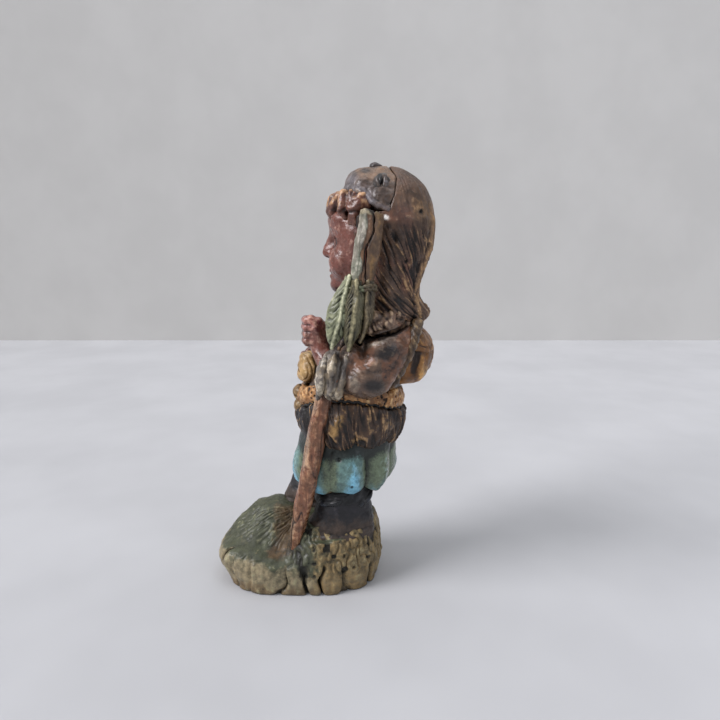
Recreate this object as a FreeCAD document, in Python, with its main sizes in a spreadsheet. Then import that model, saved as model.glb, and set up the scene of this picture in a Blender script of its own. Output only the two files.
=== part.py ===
"""Garden gnome figurine, 98 mm tall, as an assembly of separately cast and painted resin pieces.

Row frame: millimetres, +Z up, +X towards the figure's left, -Y the way the figure looks.
The origin is the middle of the flat underside of the base.  Every piece seats in its neighbours:
boots on pegs in the base, legs in sockets under the skirt, the neck spigot in the jacket,
the foot of the staff in a hole in the base.
"""
import FreeCAD, Part

import math
import os

import Sketcher
from FreeCAD import Placement, Rotation, Vector

doc = FreeCAD.newDocument("garden_gnome")
sheet = doc.addObject("Spreadsheet::Sheet", "Sizes")
WIDTHWAYS, UPRIGHT = Vector(1, 0, 0), Vector(0, 0, 1)
SIDES = (("left", 1), ("right", -1))
BELT_UP = 42.8
BELT_THICKNESS = 1.1
pieces = {}


# ---------------------------------------------------------------- the sheet of driving dimensions
def store(alias, value):
    """Puts one driving dimension in the next row of the sheet and returns the reference to it."""
    store.row += 1
    sheet.set(f"A{store.row}", alias)
    sheet.set(f"B{store.row}", str(value))
    sheet.setAlias(f"B{store.row}", alias)
    return f"Sizes.{alias}"


store.row = 0


def read(alias):
    return float(sheet.get(alias))


# ---------------------------------------------------------------- primitives bound to the sheet
def place(feature, name, centre, turn=0, axis=WIDTHWAYS):
    """Binds a feature's position, and its turn about one axis, to cells named after it."""
    feature.Placement = Placement(Vector(), Rotation(axis, turn or 1))
    for letter, word, value in zip("xyz", ("side", "back", "up"), centre):
        feature.setExpression(f"Placement.Base.{letter}", store(f"{name}_{word}", value))
    feature.setExpression("Placement.Rotation.Angle", store(f"{name}_turn", turn))


def egg(name, centre, half_sizes, turn=0, axis=WIDTHWAYS):
    """An ellipsoid: half sizes are across, front to back, and up."""
    solid = doc.addObject("Part::Ellipsoid", name)
    radii = ("Radius2", "Radius3", "Radius1")
    words = ("half_width", "half_depth", "half_height")
    for radius, word, value in zip(radii, words, half_sizes):
        solid.setExpression(radius, store(f"{name}_{word}", value))
    place(solid, name, centre, turn, axis)
    return solid


def block(name, corner, lengths, turn=0):
    """A box from its lowest corner."""
    solid = doc.addObject("Part::Box", name)
    for side, word, value in zip(("Length", "Width", "Height"), ("width", "depth", "height"), lengths):
        solid.setExpression(side, store(f"{name}_{word}", value))
    place(solid, name, corner, turn)
    return solid


def rod(name, foot, radius, height):
    """An upright cylinder."""
    solid = doc.addObject("Part::Cylinder", name)
    solid.setExpression("Radius", store(f"{name}_radius", radius))
    solid.setExpression("Height", store(f"{name}_height", height))
    place(solid, name, foot)
    return solid


def slanted_rod(name, foot, top, foot_radius, top_radius):
    """A straight rod, slightly tapered, with its foot and top anywhere."""
    solid = doc.addObject("Part::Cone", name)
    solid.setExpression("Radius1", store(f"{name}_foot_radius", foot_radius))
    solid.setExpression("Radius2", store(f"{name}_top_radius", top_radius))
    run = Vector(*top) - Vector(*foot)
    solid.setExpression("Height", store(f"{name}_length", round(run.Length, 3)))
    across = UPRIGHT.cross(run)
    place(solid, name, foot, round(math.degrees(UPRIGHT.getAngle(run)), 3), across)
    return solid


def loft(name, rings):
    """A smooth loft through level ellipses, each (side, back, up, half_width, half_depth).
    All the ellipses of one loft are longer the same way."""
    deep = rings[0][4] > rings[0][3]
    outlines = []
    for number, (side, back, up, half_width, half_depth) in enumerate(rings, 1):
        ring = f"{name}_ring_{number}"
        outline = doc.addObject("Part::Ellipse", ring)
        width = store(f"{ring}_half_width", half_width)
        depth = store(f"{ring}_half_depth", half_depth)
        outline.setExpression("MajorRadius", depth if deep else width)
        outline.setExpression("MinorRadius", width if deep else depth)
        place(outline, ring, (side, back, up), 90 if deep else 0, UPRIGHT)
        outlines.append(outline)
    solid = doc.addObject("Part::Loft", name)
    solid.Sections = outlines
    solid.Solid = True
    return solid


def folded_loft(name, folds, depth, rings, facets_per_fold=4):
    """A faceted loft through level rings whose outline waves in and out in folds.
    Each ring is (back, up, half_width, half_depth, share of the full fold depth)."""
    store(f"{name}_folds", folds)
    store(f"{name}_fold_depth", depth)
    words = ("back", "up", "half_width", "half_depth", "fold_share")
    for number, ring in enumerate(rings, 1):
        for word, value in zip(words, ring):
            store(f"{name}_ring_{number}_{word}", value)
    sheet.recompute()
    count = int(read(f"{name}_folds"))
    deep = read(f"{name}_fold_depth")
    steps = facets_per_fold * count
    wires = []
    for number in range(1, len(rings) + 1):
        cells = [f"{name}_ring_{number}_{word}" for word in words]
        back, up, half_width, half_depth, share = map(read, cells)
        points = []
        for step in range(steps):
            angle = 2 * math.pi * step / steps
            wave = 1 + deep * share * math.cos(count * angle)
            across = half_width * wave * math.cos(angle)
            along = back + half_depth * wave * math.sin(angle)
            points.append(Vector(across, along, up))
        wires.append(Part.makePolygon(points + points[:1]))
    solid = doc.addObject("Part::Feature", name)
    solid.Shape = Part.makeLoft(wires, True, True)
    return solid


# ---------------------------------------------------------------- joining and trimming
def join(name, *solids):
    whole = doc.addObject("Part::MultiFuse", name)
    whole.Shapes = list(solids)
    whole.Refine = False
    return whole


def keep_inside(name, solid, limit):
    """The part of solid that lies within limit."""
    common = doc.addObject("Part::Common", name)
    common.Base = solid
    common.Tool = limit
    common.Refine = False
    return common


def piece(name, solid, *neighbours):
    """A finished piece: solid with its neighbours' shapes cut away, so that they meet face to face."""
    for number, neighbour in enumerate(neighbours, 1):
        cut = doc.addObject("Part::Cut", f"{name}_cut_{number}")
        cut.Base = solid
        cut.Tool = neighbour
        cut.Refine = False
        solid = cut
    if not neighbours:
        copy = doc.addObject("Part::Compound", f"{name}_whole")
        copy.Links = [solid]
        solid = copy
    solid.Label = name
    pieces[name] = solid
    return solid


# ---------------------------------------------------------------- the ground
def ground():
    """A fluted rock, low on the figure's left and raised under the advanced right boot."""
    rock = folded_loft("rock", folds=18, depth=0.025, rings=[
        (0, 0.0, 12.6, 20.2, 1.0),
        (0, 4.0, 12.7, 20.3, 1.0),
        (0, 8.2, 11.9, 19.4, 0.6),
        (0.5, 11.0, 8.6, 15.5, 0.2)])
    left_rise = egg("left_rise", (4.3, 8.6, 7.2), (6.8, 9.4, 5.2))
    right_rise = egg("right_rise", (-4.6, -2.0, 8.6), (6.8, 11.0, 6.0))
    return join("ground", rock, left_rise, right_rise)


def boot(side, centre, foot_half_depth, sole_up, shaft_back, shaft_top):
    """A fat boot with a flat sole, a baggy shaft and a peg under it."""
    across, back, up = centre
    peg_depth = 2.5
    overlap = 1.0
    foot = egg(f"{side}_foot", centre, (4.5, foot_half_depth, 4.1))
    above = block(f"{side}_above_sole", (across - 8, back - 12, sole_up), (16, 24, 30))
    shoe = keep_inside(f"{side}_shoe", foot, above)
    shaft = loft(f"{side}_shaft", [(across, shaft_back, sole_up + 0.4, 4.0, 4.3),
                                   (across, shaft_back, sole_up + 5.5, 4.5, 5.1),
                                   (across, shaft_back, shaft_top, 4.3, 4.9)])
    peg = rod(f"{side}_boot_peg", (across, shaft_back, sole_up - peg_depth), 1.3, peg_depth + overlap)
    return join(f"{side}_boot_shape", shoe, shaft, peg)


# ---------------------------------------------------------------- clothes
def clothes():
    """The skirt, the fur kilt over it, the fleece hem, the jacket and its fur collar."""
    skirt = folded_loft("skirt_cloth", folds=9, depth=0.045, facets_per_fold=6, rings=[
        (10.9, 22.6, 11.2, 11.9, 1.0),
        (11.0, 26.4, 11.9, 12.5, 1.0),
        (11.4, 30.4, 11.7, 12.0, 0.6),
        (11.9, 33.6, 11.2, 11.5, 0.2)])
    kilt = loft("kilt_fur", [
        (0, 12.4, 33.6, 12.6, 12.4),
        (0, 12.5, 36.0, 13.6, 13.0),
        (0, 12.6, 39.4, 13.9, 13.3),
        (0, 12.5, BELT_UP, 12.5, 12.2)])
    hem = loft("hem_fleece", [
        (0, 12.6, BELT_UP + BELT_THICKNESS, 12.7, 12.3),
        (0, 12.7, 45.8, 13.3, 12.7),
        (0, 13.0, 48.3, 12.0, 11.6)])
    jacket = loft("jacket", [
        (0, 12.6, BELT_UP, 10.9, 10.6),
        (0, 13.2, 47.0, 11.2, 10.8),
        (0, 15.0, 54.0, 11.4, 10.2),
        (0, 17.0, 60.0, 10.8, 9.2),
        (0, 18.2, 65.5, 8.0, 7.0)])
    collar = egg("collar_fur", (0, 18.7, 63.4), (13.7, 10.9, 3.9))
    return skirt, kilt, hem, jacket, collar


def belt_ring():
    """A flattened cord round the waist, between kilt and hem."""
    thickness = store("belt_thickness", BELT_THICKNESS)
    sizes = (("belt_outside", 12.3, 12.0), ("belt_inside", 11.15, 10.85))
    loops = []
    for name, half_width, half_depth in sizes:
        outline = doc.addObject("Part::Ellipse", f"{name}_line")
        outline.setExpression("MajorRadius", store(f"{name}_half_width", half_width))
        outline.setExpression("MinorRadius", store(f"{name}_half_depth", half_depth))
        place(outline, f"{name}_line", (0, 12.7, BELT_UP))
        disc = doc.addObject("Part::Extrusion", name)
        disc.Base = outline
        disc.DirMode = "Custom"
        disc.Dir = UPRIGHT
        disc.Solid = True
        disc.setExpression("LengthFwd", thickness)
        loops.append(disc)
    ring = doc.addObject("Part::Cut", "belt_ring")
    ring.Base, ring.Tool = loops
    return ring


def strap(side, sign):
    """A padded strap that comes down off the shoulder behind the upper arm."""
    return egg(f"{side}_strap_band", (sign * 11.4, 22.5, 57.6), (4.4, 5.6, 8.2), -20)


def soft_block(name, half_width, near, far, low, height, edge_radius):
    """A stuffed pad: a sketched rectangle, padded upwards and rounded on every edge, as one PartDesign body."""
    body = doc.addObject("PartDesign::Body", name)
    sketch = body.newObject("Sketcher::SketchObject", f"{name}_outline")
    plane = [feature for feature in body.Origin.OriginFeatures if feature.Role == "XY_Plane"][0]
    sketch.AttachmentSupport = [(plane, "")]
    sketch.MapMode = "FlatFace"
    sketch.setExpression("AttachmentOffset.Base.z", store(f"{name}_low", low))
    corners = [Vector(-half_width, near, 0), Vector(half_width, near, 0),
               Vector(half_width, far, 0), Vector(-half_width, far, 0)]
    for start, end in zip(corners, corners[1:] + corners[:1]):
        sketch.addGeometry(Part.LineSegment(start, end))
    for line in range(4):
        sketch.addConstraint(Sketcher.Constraint("Coincident", line, 2, (line + 1) % 4, 1))
    for line in (0, 2):
        sketch.addConstraint(Sketcher.Constraint("Horizontal", line))
    for line in (1, 3):
        sketch.addConstraint(Sketcher.Constraint("Vertical", line))
    width_cell = store(f"{name}_half_width", half_width)
    near_cell = store(f"{name}_near", near)
    far_cell = store(f"{name}_far", far)
    limits = (("DistanceX", -1, 1, 1, 1, half_width, width_cell),
              ("DistanceX", 3, 1, -1, 1, half_width, width_cell),
              ("DistanceY", -1, 1, 1, 1, near, near_cell),
              ("DistanceY", -1, 1, 2, 2, far, far_cell))
    for kind, *ends, value, cell in limits:
        number = sketch.addConstraint(Sketcher.Constraint(kind, *ends, value))
        sketch.setExpression(f"Constraints[{number}]", cell)
    pad = body.newObject("PartDesign::Pad", f"{name}_pad")
    pad.Profile = sketch
    pad.setExpression("Length", store(f"{name}_height", height))
    body.recompute()
    pad.recompute()
    rounding = body.newObject("PartDesign::Fillet", f"{name}_rounding")
    rounding.Base = (pad, [f"Edge{number}" for number in range(1, 13)])
    rounding.setExpression("Radius", store(f"{name}_edge_radius", edge_radius))
    return body


# ---------------------------------------------------------------- arms and hands
def sleeves():
    """Each sleeve is an upper arm and a forearm bent at the elbow."""
    left = join("left_arm",
                egg("left_upper_arm", (11.9, 20.9, 57.2), (5.0, 5.9, 8.6), -20),
                egg("left_forearm", (12.3, 14.0, 52.1), (4.4, 7.1, 4.3), 3))
    right = join("right_arm",
                 egg("right_upper_arm", (-11.9, 20.9, 57.2), (5.0, 5.9, 8.6), -20),
                 egg("right_forearm", (-11.7, 14.0, 52.0), (4.4, 7.0, 4.3), 3))
    return left, right


def hands():
    """The left hand rises out of its cuff to grip the staff; the right one rests against the pouch."""
    left = loft("left_wrist_and_fist", [
        (10.0, 8.3, 50.6, 2.1, 2.3),
        (8.4, 7.5, 54.0, 2.4, 2.6),
        (5.8, 6.0, 57.6, 2.4, 2.6),
        (4.2, 4.9, 60.6, 2.9, 3.1),
        (3.8, 4.8, 63.0, 2.8, 3.0),
        (3.8, 5.0, 64.9, 1.6, 1.8)])
    right = loft("right_palm", [
        (-5.4, 3.4, 49.4, 2.6, 1.9),
        (-5.4, 3.3, 51.2, 3.5, 2.7),
        (-5.3, 3.2, 53.2, 3.5, 2.8),
        (-5.2, 3.4, 55.0, 2.4, 1.8)])
    return left, right


# ---------------------------------------------------------------- head
def head_shapes():
    """The head with its neck spigot, the long hair and the cap."""
    head = join("head_and_neck",
                egg("skull", (0, 17.4, 81.6), (10.4, 8.8, 9.6)),
                egg("jaw", (0, 13.8, 77.2), (8.6, 6.8, 6.2)),
                egg("chin", (0, 9.2, 74.9), (3.2, 2.6, 2.6)),
                egg("nose", (0, 8.4, 81.4), (1.8, 2.3, 1.7)),
                rod("neck", (0, 18.6, 60.5), 5.2, 14.0))
    hair = loft("hair_mass", [
        (0, 23.6, 62.3, 12.3, 7.6),
        (0, 23.7, 66.0, 11.4, 7.5),
        (0, 21.3, 70.5, 10.8, 6.9),
        (0, 21.0, 78.0, 11.6, 9.7),
        (0, 21.2, 87.0, 11.9, 10.2),
        (0, 20.6, 93.4, 9.4, 7.9),
        (0, 19.6, 96.4, 4.5, 3.8)])
    dome = egg("cap_dome", (0, 18.2, 87.3), (12.3, 9.2, 9.8))
    front = block("cap_front_limit", (-15, 0, 86.6), (30, 21.2, 14))
    cap = keep_inside("cap_shell", dome, front)
    return head, hair, cap


def fringe_locks():
    """A row of short locks under the front edge of the cap, lower towards the temples."""
    count = 7
    spread = 66
    row_half_width, row_half_depth, row_back = 10.6, 8.3, 17.6
    middle_up, drop = 87.4, 1.2
    locks = []
    for number in range(count):
        angle = math.radians(spread * (2 * number / (count - 1) - 1))
        across = row_half_width * math.sin(angle)
        back = row_back - row_half_depth * math.cos(angle)
        up = middle_up - drop * (1 - math.cos(angle))
        locks.append(egg(f"lock_{number + 1}", (across, back, up), (2.3, 1.8, 2.4)))
    return join("lock_row", *locks)


# ---------------------------------------------------------------- staff
def staff():
    """The shaft, bent once at the belt, and the split log it ends in, as bark half and core half."""
    foot = (7.4, -1.5, 6.4)
    bend = (11.6, 5.4, 42.0)
    top = (14.2, 15.0, 71.0)
    shaft = join("shaft",
                 slanted_rod("lower_shaft", foot, bend, 1.9, 2.1),
                 egg("shaft_bend", bend, (2.12, 2.12, 2.12)),
                 slanted_rod("upper_shaft", bend, top, 2.1, 2.1))
    log = keep_inside("log",
                      egg("log_body", (14.1, 16.6, 78.6), (2.3, 2.9, 10.4), -11),
                      block("log_limit", (8, 8, 71.1), (12, 18, 15.9)))
    front = block("bark_limit", (5, 2.3, 68), (18, 12.2, 24), -11)
    bark = keep_inside("bark_half", log, front)
    return shaft, log, bark


def leaves():
    """Three long leaves tied under the log, and the cord round them."""
    cord = doc.addObject("Part::Torus", "leaf_tie")
    cord.setExpression("Radius1", store("leaf_tie_ring_radius", 2.7))
    cord.setExpression("Radius2", store("leaf_tie_half_thickness", 0.8))
    place(cord, "leaf_tie", (14.1, 14.9, 71.2))
    below = block("leaf_limit", (5, 0, 50), (20, 30, 20.3))
    blades = (egg("front_blade", (15.2, 10.9, 64.6), (1.3, 2.8, 7.9), -14),
              egg("middle_blade", (16.2, 13.4, 64.8), (1.3, 2.3, 7.2), -10),
              egg("rear_blade", (15.8, 15.9, 65.2), (1.3, 2.0, 6.4), -6))
    return cord, *(keep_inside(f"{blade.Name}_below_cord", blade, below) for blade in blades)


# ---------------------------------------------------------------- the assembly
land = ground()
left_boot = boot("left", (5.6, 9.7, 14.5), 8.4, sole_up=11.0, shaft_back=12.7, shaft_top=22.4)
right_boot = boot("right", (-5.4, 2.2, 17.2), 7.8, sole_up=13.7, shaft_back=6.2, shaft_top=24.4)
left_leg = loft("left_leg", [(5.5, 12.6, 22.4, 3.9, 4.2), (5.2, 12.4, 29.0, 4.3, 4.6)])
right_leg = loft("right_leg", [(-5.4, 6.6, 24.4, 3.9, 4.2), (-5.2, 9.4, 30.0, 4.3, 4.6)])
skirt, kilt, hem, jacket, collar = clothes()
belt = belt_ring()
head, hair, cap = head_shapes()
shaft, log, bark = staff()
leaf_cord, front_leaf, middle_leaf, rear_leaf = leaves()
left_sleeve, right_sleeve = sleeves()
left_hand, right_hand = hands()
left_cuff = egg("left_cuff_shape", (12.2, 8.2, 52.3), (3.7, 3.1, 5.2))
right_cuff = egg("right_cuff_shape", (-8.6, 6.6, 51.8), (3.5, 3.2, 3.9))
sack = soft_block("sack", half_width=8.6, near=20.0, far=31.2, low=48.6, height=12.6, edge_radius=3.2)
flap = soft_block("sack_flap", half_width=9.2, near=22.0, far=31.9, low=56.2, height=6.0, edge_radius=2.4)
left_strap, right_strap = (strap(side, sign) for side, sign in SIDES)
pouch = egg("pouch_shape", (0.2, 3.7, 51.4), (3.6, 3.4, 4.0))
knot = egg("knot_shape", (0, 2.3, 44.4), (3.8, 3.1, 2.6))
button = egg("button_shape", (0, 18.1, 96.7), (1.7, 1.9, 1.3))
ears = [egg(f"{side}_ear_shape", (sign * 11.2, 19.0, 91.8), (1.5, 2.2, 2.9)) for side, sign in SIDES]
locks = fringe_locks()

# Each piece is named with the neighbours that keep their full shape where the two meet.
piece("base_mound", land, left_boot, right_boot, shaft)
piece("left_boot", left_boot)
piece("right_boot", right_boot)
piece("left_trouser_leg", left_leg)
piece("right_trouser_leg", right_leg)
piece("skirt", skirt, left_leg, right_leg, right_boot, shaft)
piece("fur_kilt", kilt, knot, shaft)
piece("belt_cord", belt, knot, shaft)
piece("belt_knot", knot, jacket)
piece("fleece_hem", hem, jacket, knot, shaft)
piece("jacket_body", jacket, head, hair)
piece("fur_collar", collar, jacket, head, hair, shaft)
piece("left_sleeve", left_sleeve, collar, jacket, hem, left_cuff, shaft, hair)
piece("right_sleeve", right_sleeve, collar, jacket, hem, right_cuff, hair)
piece("left_cuff", left_cuff, jacket, hem, shaft)
piece("right_cuff", right_cuff, jacket, hem)
piece("left_hand", left_hand, left_cuff, jacket)
piece("front_pouch", pouch, jacket, hem)
piece("right_hand", right_hand, right_cuff, jacket, pouch)
piece("left_pack_strap", left_strap, collar, jacket, left_sleeve, hair)
piece("right_pack_strap", right_strap, collar, jacket, right_sleeve, hair)
piece("backpack", sack, jacket, collar, left_strap, right_strap)
piece("backpack_flap", flap, sack, jacket, collar, left_strap, right_strap)
piece("head", head)
piece("hair", hair, head, cap)
piece("cap", cap, head)
piece("fringe", locks, head, cap, hair)
piece("cap_button", button, cap)
for (side, sign), ear in zip(SIDES, ears):
    piece(f"{side}_cap_ear", ear, cap, hair)
piece("staff_shaft", shaft)
piece("log_bark", bark)
piece("log_core", log, bark)
piece("leaf_cord", leaf_cord, shaft, log)
piece("front_leaf", front_leaf, shaft)
piece("middle_leaf", middle_leaf, front_leaf, shaft)
piece("rear_leaf", rear_leaf, middle_leaf, shaft)

doc.recompute()
broken = [feature.Label for feature in doc.Objects if {"Invalid", "Error"} & set(feature.State)]
assert not broken, f"features that failed: {broken}"
os.makedirs("parts", exist_ok=True)
for name, feature in pieces.items():
    shape = feature.Shape
    assert not shape.isNull() and shape.isValid() and shape.Solids, f"{name} has no valid solid"
    print(f"{name:20s} solids {len(shape.Solids)}  volume {shape.Volume:9.1f} mm3")
    shape.exportStep(f"parts/{name}.step")
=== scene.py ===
import math

import bpy
import numpy as np
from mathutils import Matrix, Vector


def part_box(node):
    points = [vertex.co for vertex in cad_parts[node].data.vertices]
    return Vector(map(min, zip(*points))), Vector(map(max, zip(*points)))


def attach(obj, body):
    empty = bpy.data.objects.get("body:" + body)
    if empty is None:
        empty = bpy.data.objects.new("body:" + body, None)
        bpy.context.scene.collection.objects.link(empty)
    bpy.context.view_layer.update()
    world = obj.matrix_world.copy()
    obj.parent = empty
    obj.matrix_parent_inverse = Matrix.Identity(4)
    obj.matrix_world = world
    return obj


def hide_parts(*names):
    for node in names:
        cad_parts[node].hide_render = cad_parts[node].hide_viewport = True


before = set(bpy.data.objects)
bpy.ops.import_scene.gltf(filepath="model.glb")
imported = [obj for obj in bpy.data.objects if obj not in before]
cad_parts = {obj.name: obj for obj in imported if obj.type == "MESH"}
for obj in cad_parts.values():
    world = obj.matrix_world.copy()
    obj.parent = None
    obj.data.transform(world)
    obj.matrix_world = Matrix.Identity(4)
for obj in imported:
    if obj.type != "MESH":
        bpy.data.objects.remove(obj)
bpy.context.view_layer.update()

import openvdb

# The figurine is modelled like clay: each piece is a signed distance worked out on a fine grid round
# its CAD node, in millimetres, then turned into a mesh whose points are lifted or pressed in by
# carved detail.  The same detail, kept on the points, tells the paint where its wash_and_shade colour
# lies, dark in the grooves and in some pieces as painted shade, and where the dry brush has caught.
MM = 0.001
CAMERA_PLACE = (125.5, 14.75, 78)
CAMERA_DIP = 11
LENS = 27.05
SENSOR = 36.0
BODY = "root"
FINE = 0.17
MEDIUM = 0.22
MASKS = ("first", "second", "third", "fourth")


# ================================================================ places taken from the frame
def spot(node):
    """Centre and half size of a CAD node, in millimetres."""
    low, high = (np.array(corner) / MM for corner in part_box(node))
    return (low + high) / 2, (high - low) / 2


def at(node, along_x, along_y, along_z):
    """The point that lies at these fractions of a CAD node's box, from -1 to 1 each way."""
    centre, half = spot(node)
    return centre + half * (along_x, along_y, along_z)


# ================================================================ repeatable noise
def lattice(ix, iy, iz, seed):
    """A repeatable number from -1 to 1 for each whole-number place."""
    mixed = (ix * 73856093) ^ (iy * 19349663) ^ (iz * 83492791) ^ (seed * 7919 + 12345)
    mixed = (mixed ^ (mixed >> 13)) * 1274126177
    mixed = mixed ^ (mixed >> 16)
    return (mixed & 0xFFFF) / 32767.5 - 1


def noise(x, y=0.0, z=0.0, seed=0):
    """Smooth noise from -1 to 1, one unit between its bumps."""
    x, y, z = np.broadcast_arrays(x, y, z)
    ix, iy, iz = (np.floor(axis).astype(np.int64) for axis in (x, y, z))
    tx, ty, tz = (t * t * (3 - 2 * t) for t in (x - ix, y - iy, z - iz))
    total = 0.0
    for dx in (0, 1):
        for dy in (0, 1):
            for dz in (0, 1):
                weight = (tx if dx else 1 - tx) * (ty if dy else 1 - ty) * (tz if dz else 1 - tz)
                total = total + weight * lattice(ix + dx, iy + dy, iz + dz, seed)
    return total


def rough(p, size, seed, octaves=3):
    """Noise with finer noise on top, for a bump size in millimetres."""
    total, share = 0.0, 1.0
    for octave in range(octaves):
        total = total + share * noise(*(axis / size for axis in p), seed=seed + octave)
        size, share = size / 2, share / 2
    return total / 1.75


def strokes(across, along, seed, sharp=0.24):
    """Carved hair: -1 in a groove, 1 on a ridge.  across counts hairs, along counts hair lengths."""
    wander = across + 0.8 * noise(across * 0.25, along * 0.9, seed=seed + 1)
    return 1 - 2 * np.exp(-(noise(wander, along, seed=seed) / sharp) ** 2)


def ramp(value, start, end):
    """0 before start, 1 after end, smooth between."""
    t = np.clip((value - start) / (end - start), 0, 1)
    return t * t * (3 - 2 * t)


def near(distance, width):
    """1 where distance is 0, falling off to 0 over about width."""
    return np.exp(-(distance / width) ** 2)


def blot(across, along):
    """1 in the middle of a soft spot, falling off to 0; both offsets are counted in its half sizes."""
    return near(np.hypot(across, along), 1)


# ================================================================ clay shapes: distances in millimetres
def local(p, centre, tilt=0.0, roll=0.0, turn=0.0):
    """Coordinates about a centre whose axes are tilted about X, rolled about Y and turned about Z."""
    x, y, z = (axis - middle for axis, middle in zip(p, centre))
    for angle, kind in ((turn, "turn"), (tilt, "tilt"), (roll, "roll")):
        if not angle:
            continue
        c, s = math.cos(math.radians(angle)), math.sin(math.radians(angle))
        if kind == "turn":
            x, y = x * c + y * s, y * c - x * s
        elif kind == "tilt":
            y, z = y * c + z * s, z * c - y * s
        else:
            x, z = x * c - z * s, z * c + x * s
    return x, y, z


def egg(p, centre, half, **turns):
    """Distance from an egg with three half sizes."""
    x, y, z = local(p, centre, **turns)
    reach = np.sqrt((x / half[0]) ** 2 + (y / half[1]) ** 2 + (z / half[2]) ** 2)
    slope = np.sqrt((x / half[0] ** 2) ** 2 + (y / half[1] ** 2) ** 2 + (z / half[2] ** 2) ** 2)
    return reach * (reach - 1) / np.maximum(slope, 1e-6)


def oval(x, y, half_x, half_y):
    """Distance from an upright elliptical wall."""
    reach = np.sqrt((x / half_x) ** 2 + (y / half_y) ** 2)
    slope = np.sqrt((x / half_x ** 2) ** 2 + (y / half_y ** 2) ** 2)
    return reach * (reach - 1) / np.maximum(slope, 1e-6)


def squarish(x, y, half_x, half_y, power):
    """Distance to the outline of an oval with fuller corners."""
    reach = (np.abs(x / half_x) ** power + np.abs(y / half_y) ** power + 1e-9) ** (1 / power)
    return np.hypot(x, y) * (1 - 1 / reach)


def line(p, points):
    """Distance from a line through points, and how far along it the nearest place is, from 0 to 1."""
    points = np.array(points, float)
    best, place = None, None
    for number in range(len(points) - 1):
        start, run = points[number], points[number + 1] - points[number]
        offset = [axis - middle for axis, middle in zip(p, start)]
        t = np.clip(sum(o * r for o, r in zip(offset, run)) / run.dot(run), 0, 1)
        away = np.sqrt(sum((o - t * r) ** 2 for o, r in zip(offset, run)))
        along = (number + t) / (len(points) - 1)
        if best is None:
            best, place = away, along
        else:
            best, place = np.minimum(best, away), np.where(away < best, along, place)
    return best, place


def drawn(y, z, points):
    """Distance from a line drawn on the side of the figure, given as (back, up) points."""
    return line((0 * y, y, z), [(0, *point) for point in points])[0]


def tube(p, points, radii):
    """A bent rod whose thickness follows radii."""
    away, along = line(p, points)
    return away - np.interp(along, np.linspace(0, 1, len(radii)), radii)


def weld(a, b, soft=1.0):
    """What a or b covers, with a filled joint."""
    h = np.clip(0.5 + 0.5 * (b - a) / soft, 0, 1)
    return b + (a - b) * h - soft * h * (1 - h)


def trim(a, b, soft=0.3):
    """What a and b share, with a rounded edge."""
    return -weld(-a, -b, soft)


def carve(a, b, soft=0.3):
    """a with b taken away."""
    return trim(a, -b, soft)


def stack(p, rings, even=2.5):
    """A body through level ovals, each (up, back, half_width, half_depth), evened out over some mm."""
    x, y, z = p
    up, *columns = (np.array(column, float) for column in zip(*sorted(rings)))
    fine = np.linspace(up[0] - 6, up[-1] + 6, 300)
    window = np.hanning(max(3, int(2 * even / (fine[1] - fine[0]))) | 1)
    reach = len(window) // 2
    share = window / window.sum()
    padded = (np.pad(np.interp(fine, up, column), reach, "edge") for column in columns)
    back, half_x, half_y = (np.interp(z, fine, np.convolve(column, share, "valid")) for column in padded)
    return trim(trim(oval(x, y - back, half_x, half_y), z - up[-1], 1.2), up[0] - z, 1.2)


# ================================================================ from clay to mesh
def surface(low, high, cell, shape):
    """Points and four-sided faces of the zero surface of shape, inside the box from low to high."""
    low = np.array(low, float) - 3 * cell
    counts = np.ceil((np.array(high, float) + 3 * cell - low) / cell).astype(int)
    axes = [low[side] + cell * np.arange(counts[side]) for side in range(3)]
    p = np.meshgrid(*axes, indexing="ij", sparse=True)
    grid = openvdb.FloatGrid(3 * cell)
    grid.copyFromArray(np.ascontiguousarray(np.broadcast_to(shape(p), counts), dtype=np.float32))
    grid.gridClass = openvdb.GridClass.LEVEL_SET
    points, _, quads = grid.convertToPolygons(isovalue=0.0, adaptivity=0.0)
    return points.astype(float) * cell + low, quads[:, ::-1].astype(np.int32)


def normals_of(points, quads):
    """One unit normal for each point, from the faces round it."""
    corners = points[quads]
    faces = np.cross(corners[:, 2] - corners[:, 0], corners[:, 3] - corners[:, 1])
    total = np.zeros_like(points)
    for side in range(3):
        spread = np.repeat(faces[:, side], 4)
        total[:, side] = np.bincount(quads.ravel(), weights=spread, minlength=len(points))
    return total / np.maximum(np.linalg.norm(total, axis=1, keepdims=True), 1e-9)


def cast(name, nodes, paint, low, high, cell, shape, detail):
    """Casts one piece.  detail gets the points and their normals, and gives how far each point is
    lifted, in millimetres, then relief from -1 to 1 for the paint, then up to four MASKS from 0 to 1."""
    cell = cell
    points, quads = surface(low, high, cell, shape)
    normals = normals_of(points, quads)
    lift, *masks = detail(tuple(points.T), tuple(normals.T))
    points = points + normals * np.reshape(np.broadcast_to(lift, len(points)), (-1, 1))
    mesh = bpy.data.meshes.new(name)
    mesh.vertices.add(len(points))
    mesh.vertices.foreach_set("co", (points * MM).astype(np.float32).ravel())
    mesh.loops.add(quads.size)
    mesh.loops.foreach_set("vertex_index", quads.ravel())
    mesh.polygons.add(len(quads))
    mesh.polygons.foreach_set("loop_start", np.arange(0, quads.size, 4, dtype=np.int32))
    mesh.polygons.foreach_set("use_smooth", np.ones(len(quads), dtype=bool))
    mesh.update(calc_edges=True)
    mesh.validate()
    for mask_name, mask in zip(("relief", *MASKS), masks):
        layer = mesh.attributes.new(mask_name, "FLOAT", "POINT")
        layer.data.foreach_set("value", np.broadcast_to(mask, len(points)).astype(np.float32))
    piece = bpy.data.objects.new(name, mesh)
    bpy.context.collection.objects.link(piece)
    mesh.materials.append(paint)
    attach(piece, BODY)
    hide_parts(*nodes)
    return piece


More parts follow.
